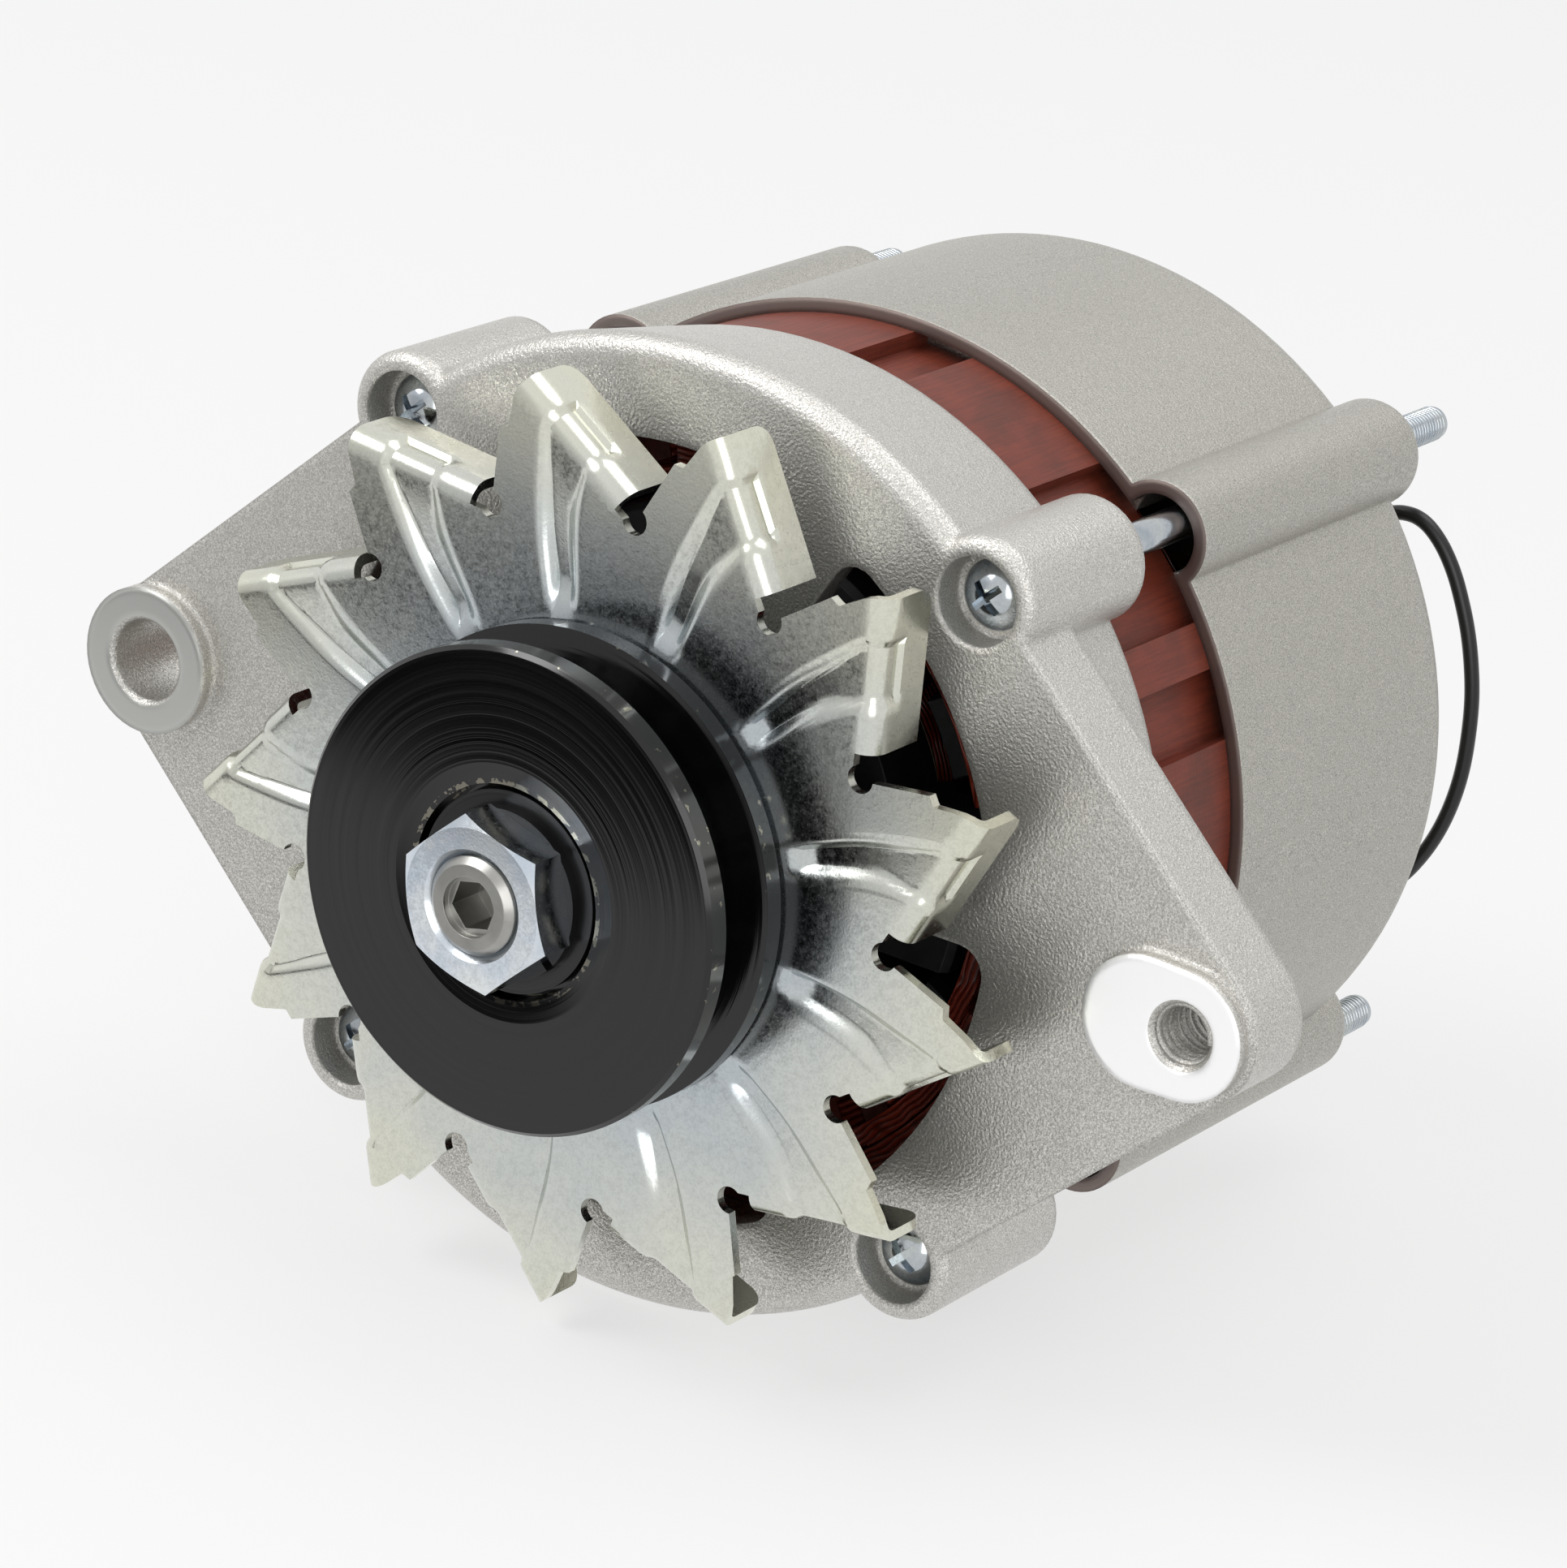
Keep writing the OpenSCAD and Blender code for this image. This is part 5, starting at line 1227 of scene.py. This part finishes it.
@dataclass
class Studio:
    """The photograph's camera, a pale floor and soft lamps at a plain level."""

    focal_px: float = 7437.241
    image: tuple[int, int] = (1931, 1932)
    sensor_mm: float = 36.0
    azimuth: float = 32.434
    elevation: float = 20.871
    roll: float = 6.617
    place_mm: tuple[float, float, float] = (436.3, -627.808, 308.989)
    clip: tuple[float, float] = (0.05, 50.0)
    lamps: tuple[Lamp, ...] = (
        Lamp("key", (-0.9, -0.9, 1.3), (1.0, 0.8), 16.0),
        Lamp("fill", (1.15, -1.25, 0.5), (0.9, 1.2), 7.0),
        Lamp("top", (0.3, 0.4, 1.6), (1.2, 1.2), 8.0))
    middle: tuple[float, float, float] = (0.0, 0.06, 0.0)
    white: str = "#f8f8f8"
    room: str = "#f2f2f2"
    room_light: float = 0.55
    floor_z: float = -71.2
    floor_half: float = 4.0
    floor_share: float = 0.7
    card_x: tuple[float, float] = (-0.34, -0.02)
    card_y: float = -0.17
    card_top: float = 0.16
    card_side_fade: float = 0.05
    card_fade: tuple = ((0.0, 0.0), (0.05, 0.96), (0.15, 0.96), (0.27, 0.30), (0.85, 0.22), (1.0, 0.0))

    def camera(self) -> None:
        """Makes the camera at the angle solved from the photograph."""
        az, el, roll = (math.radians(v) for v in (self.azimuth, self.elevation, self.roll))
        back = Vector((math.sin(az) * math.cos(el), -math.cos(az) * math.cos(el), math.sin(el)))
        right = (-back).cross(Vector((0, 0, 1))).normalized()
        up = right.cross(-back)
        tilted = right * math.cos(roll) + up * math.sin(roll)
        upright = up * math.cos(roll) - right * math.sin(roll)
        data = bpy.data.cameras.new("camera")
        data.sensor_width = self.sensor_mm
        data.lens = self.sensor_mm * self.focal_px / max(self.image)
        data.clip_start, data.clip_end = self.clip
        camera = new_object("camera", data)
        turn = Matrix((tilted, upright, back)).transposed().to_4x4()
        camera.matrix_world = Matrix.Translation(Vector(self.place_mm) * MM) @ turn
        bpy.context.scene.camera = camera

    def sees_white(self, tree: Tree, camera_share: float) -> Node:
        """Tells how much plain white a ray sees.

        Args:
            tree: The node tree.
            camera_share: What the camera sees of it.

        Returns:
            One for glossy and transmission rays, and the share for the camera.
        """
        path = add_node(tree, "ShaderNodeLightPath").outputs
        camera = add_node(tree, "ShaderNodeMath", {
            0: path["Is Camera Ray"], 1: camera_share}, operation="MULTIPLY")
        mirror = add_node(tree, "ShaderNodeMath", {
            0: path["Is Glossy Ray"], 1: path["Is Transmission Ray"]}, operation="MAXIMUM")
        return add_node(tree, "ShaderNodeMath", {0: camera, 1: mirror}, operation="MAXIMUM")

    def world(self) -> None:
        """Lights the room at a plain level and shows white behind the object."""
        world = bpy.data.worlds.new("room")
        world.use_nodes = True
        tree = world.node_tree
        tree.nodes.clear()
        plain = add_node(tree, "ShaderNodeBackground", {
            "Color": linear(self.room), "Strength": self.room_light})
        white = add_node(tree, "ShaderNodeBackground", {"Color": linear(self.white), "Strength": 1.0})
        mixed = add_node(tree, "ShaderNodeMixShader", {0: self.sees_white(tree, 1.0), 1: plain, 2: white})
        add_node(tree, "ShaderNodeOutputWorld", {0: mixed})
        bpy.context.scene.world = world

    def staged(self, name: str, corners: list[tuple], paint: Material) -> Object:
        """Makes one flat sheet that belongs to the studio and not to the part.

        Args:
            name: The sheet's name.
            corners: Its four corners in order, in metres.
            paint: Its material.

        Returns:
            The sheet.
        """
        mesh = bpy.data.meshes.new(name)
        mesh.from_pydata(corners, [], [(0, 1, 2, 3)])
        mesh.materials.append(paint)
        sheet = new_object(name, mesh)
        return sheet

    def floor(self) -> None:
        """Makes the pale floor, which keeps the object's shadow and is clear to a camera below it."""
        paint, tree, shader, _ = Finish("floor_paint", "#f4f4f4", 0.85).start()
        white = add_node(tree, "ShaderNodeEmission", {"Color": linear(self.white), "Strength": 1.0})
        mixed = add_node(tree, "ShaderNodeMixShader", {
            0: self.sees_white(tree, self.floor_share), 1: shader, 2: white})
        below = add_node(tree, "ShaderNodeNewGeometry").outputs["Backfacing"]
        clear = add_node(tree, "ShaderNodeBsdfTransparent")
        show(tree, add_node(tree, "ShaderNodeMixShader", {0: below, 1: mixed, 2: clear}))
        half, z = self.floor_half, self.floor_z * MM
        corners = [(-half, -half, z), (half, -half, z), (half, half, z), (-half, half, z)]
        self.staged("studio_floor", corners, paint)

    def dark_card(self) -> None:
        """Stands a dark card in front of the pulley, seen only as a reflection in the metal.

        Its edges fade out, so that the reflection has a soft border.
        """
        (left, right), low, high = self.card_x, self.floor_z * MM, self.card_top
        cloth, tree, shader, place = Finish("card_cloth", "#0c0d10", 1.0).start()
        across, _, height = add_node(tree, "ShaderNodeSeparateXYZ", {0: place}).outputs
        share = add_node(tree, "ShaderNodeMapRange", spread(height, low, high, 0.0, 1.0))
        rise = add_node(tree, "ShaderNodeValToRGB", {0: share}, [(at, grey(k)) for at, k in self.card_fade])
        side = add_node(tree, "ShaderNodeMapRange", spread(
            across, right, right - self.card_side_fade, 0.0, 1.0))
        dark = add_node(tree, "ShaderNodeMath", {0: rise, 1: side}, operation="MULTIPLY")
        clear = add_node(tree, "ShaderNodeBsdfTransparent")
        show(tree, add_node(tree, "ShaderNodeMixShader", {0: dark, 1: clear, 2: shader}))
        corners = [(x, self.card_y, z) for x, z in ((left, low), (right, low), (right, high), (left, high))]
        card = self.staged("dark_card", corners, cloth)
        card.visible_camera = card.visible_diffuse = card.visible_shadow = False

    def build(self) -> None:
        """Sets up the camera, world, floor, card and lamps."""
        self.camera()
        self.world()
        self.floor()
        self.dark_card()
        for lamp in self.lamps:
            lamp.hang(Vector(self.middle))
        bpy.context.scene.view_settings.view_transform = "Standard"


def finishes() -> tuple[Finish, ...]:
    """Lists the finish of every material slot of the record.

    Returns:
        The finishes, each with its slot's name.
    """
    return (
        # The bracket's milled faces: white as a painted highlight on the +X side, a darker painted shade on
        # the -X side.
        BlastedAluminium("bracket_casting", "#c3c1bc", 0.42, 0.9, grit_mm=0.48, relief_mm=0.17, fillet_mm=1.6,
                         milled_y=22.0, milled_from_r=72.0, milled_painted_shade="#b7b8b4"),
        BlastedAluminium("housing_casting", "#afada6", 0.44, 0.9, milled_y=74.8, milled_colour="#857974",
                         milled_rough=0.5),
        BlastedAluminium("regulator_metal", "#bdbcb8", 0.42, 0.9, grit_mm=0.35, relief_mm=0.03,
                         fillet_mm=0.6),
        LaminatedVarnish("stator_varnish", "#74301e", 0.55),
        WoundWire("winding_wire", "#8a2d1a", 0.28),
        ZincPlate("bolt_zinc", "#b4babf", 0.12, 1.0, tint="#c2c6c4", shade="#93a0aa", cloud_mm=5.0,
                  spangle=0.08),
        ZincPlate("nut_zinc", "#d3dae2", 0.18, 1.0, tint="#e2e6e6", shade="#bccad8", cloud_mm=7.0,
                  spangle=0.06),
        # The fan's colour by radius is painted light: painted shade at the hub, a painted warm reflection
        # towards the rim.
        ZincPlate("fan_zinc", "#d5d6cc", 0.20, 1.0, peel_mm=0.024, painted_light_r=36.0),
        TurnedEnamel("pulley_black", "#020203", 0.10),
        TurnedEnamel("washer_black", "#0b0b0c", 0.28, rim_r_mm=90.0, recess_r_mm=90.0),
        MachinedMetal("machined_steel", "#a9a8a4", 0.3, 1.0),
        MachinedMetal("bearing_steel", "#c5c6c8", 0.18, 1.0),
        MachinedMetal("cage_steel", "#a59c88", 0.35, 1.0),
        MachinedMetal("pole_steel", "#4c4c4e", 0.45, 0.9, mark_mm=0.6),
        MachinedMetal("diode_metal", "#a3a3a2", 0.3, 1.0),
        MachinedMetal("heat_sink_aluminium", "#c2c3c4", 0.35, 1.0, mark_mm=0.5),
        MachinedMetal("stud_brass", "#c9a552", 0.25, 1.0),
        MachinedMetal("capacitor_can", "#c3c3bf", 0.28, 1.0, mark_mm=0.8),
        MachinedMetal("ring_copper", "#b87a52", 0.25, 1.0),
        MachinedMetal("spring_steel", "#9a9ba0", 0.3, 1.0),
        Moulded("seal_rubber", "#17181a", 0.6),
        Moulded("insulation_brown", "#452413", 0.5),
        Moulded("board_green", "#1f5a34", 0.4),
        Moulded("diode_black", "#141414", 0.45),
        Moulded("regulator_plastic", "#151617", 0.5),
        Moulded("lead_pvc", "#0a0a0b", 0.34, grain_mm=0.8, relief_mm=0.01),
        Moulded("bobbin_plastic", "#d4cbb2", 0.45),
        Moulded("brush_carbon", "#1d1c1d", 0.55, grain_mm=0.2))


@dataclass
class Alternator:
    """The whole alternator: its solids with their finishes, and the pieces made here."""

    frame: dict
    bolt_circle: float = 68.75
    bolts: tuple = (("upper_through_bolts", 45), ("upper_through_bolts", 135),
                    ("lower_through_bolts", 225), ("lower_through_bolts", 315))
    bolt_thread: tuple[float, float] = (12.4, 2.40)
    studs: tuple = (("battery_stud", (36.5, 30.0), 5.4, 2.90), ("lamp_stud", (-36.5, 30.0), 9.0, 2.42))
    stud_pitch: float = 0.9
    chamfer: float = 0.6
    adjuster: ScrewThread = field(default_factory=lambda: ScrewThread(
        "adjuster_thread_ridge", "bracket_casting", (89.5, 0.0), start_y=22.8, length=13.0, ridge_r=4.45,
        pitch=1.5, depth=0.62))
    materials: dict[str, Material] = field(default_factory=dict)

    def paint_solids(self) -> None:
        """Gives every solid the finish of its slot in the record, and reports it."""
        for part in self.frame["record"]["subparts"]:
            node = self.frame["nodes"].get(part["node"])
            if node is None:
                continue
            finish = self.materials[part["material_slot"]]
            if not node.material_slots:
                node.data.materials.append(finish)
            for slot in node.material_slots:
                slot.material = finish
            LOG.info("%s wears %s", part["node"], part["material_slot"])

    def build(self) -> list[Object]:
        """Makes the finishes and every dressed piece.

        Returns:
            The pieces made here, in the order in which they were made.
        """
        self.materials = {finish.name: finish.build() for finish in finishes()}
        made = [SuppressorLead().build(self.materials["lead_pvc"])]
        self.paint_solids()
        made.append(StampedFan().build(self.materials["fan_zinc"]))
        made += self.threads()
        for brush in ("front_brush", "rear_brush"):
            made.append(BrushSpring(brush).build(self.materials["spring_steel"]))
        return made

    def threads(self) -> list[Object]:
        """Adds the visible threads of the through bolts, the two studs and the adjuster's hole.

        Returns:
            The ridges, in the order in which they were made.
        """
        threads = []
        length, ridge_r = self.bolt_thread
        for i, (node, angle) in enumerate(self.bolts):
            at = tuple(polar(self.bolt_circle, angle))
            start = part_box(node)[1][1] / MM - self.chamfer - length
            threads.append(ScrewThread(f"bolt_thread_{i + 1}", "bolt_zinc", at, start, length, ridge_r))
        for node, at, length, ridge_r in self.studs:
            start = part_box(node)[1][1] / MM - self.chamfer - length
            threads.append(ScrewThread(
                f"{node}_thread", "stud_brass", at, start, length, ridge_r, self.stud_pitch))
        threads.append(self.adjuster)
        return [thread.build(self.materials[thread.slot]) for thread in threads]


def main() -> None:
    """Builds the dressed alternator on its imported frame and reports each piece."""
    logging.basicConfig(level=logging.INFO)
    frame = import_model()
    Studio().build()
    for piece in Alternator(frame).build():
        LOG.info("%s is made of %d faces", piece.name, len(piece.data.polygons))


if __name__ == "__main__":
    main()
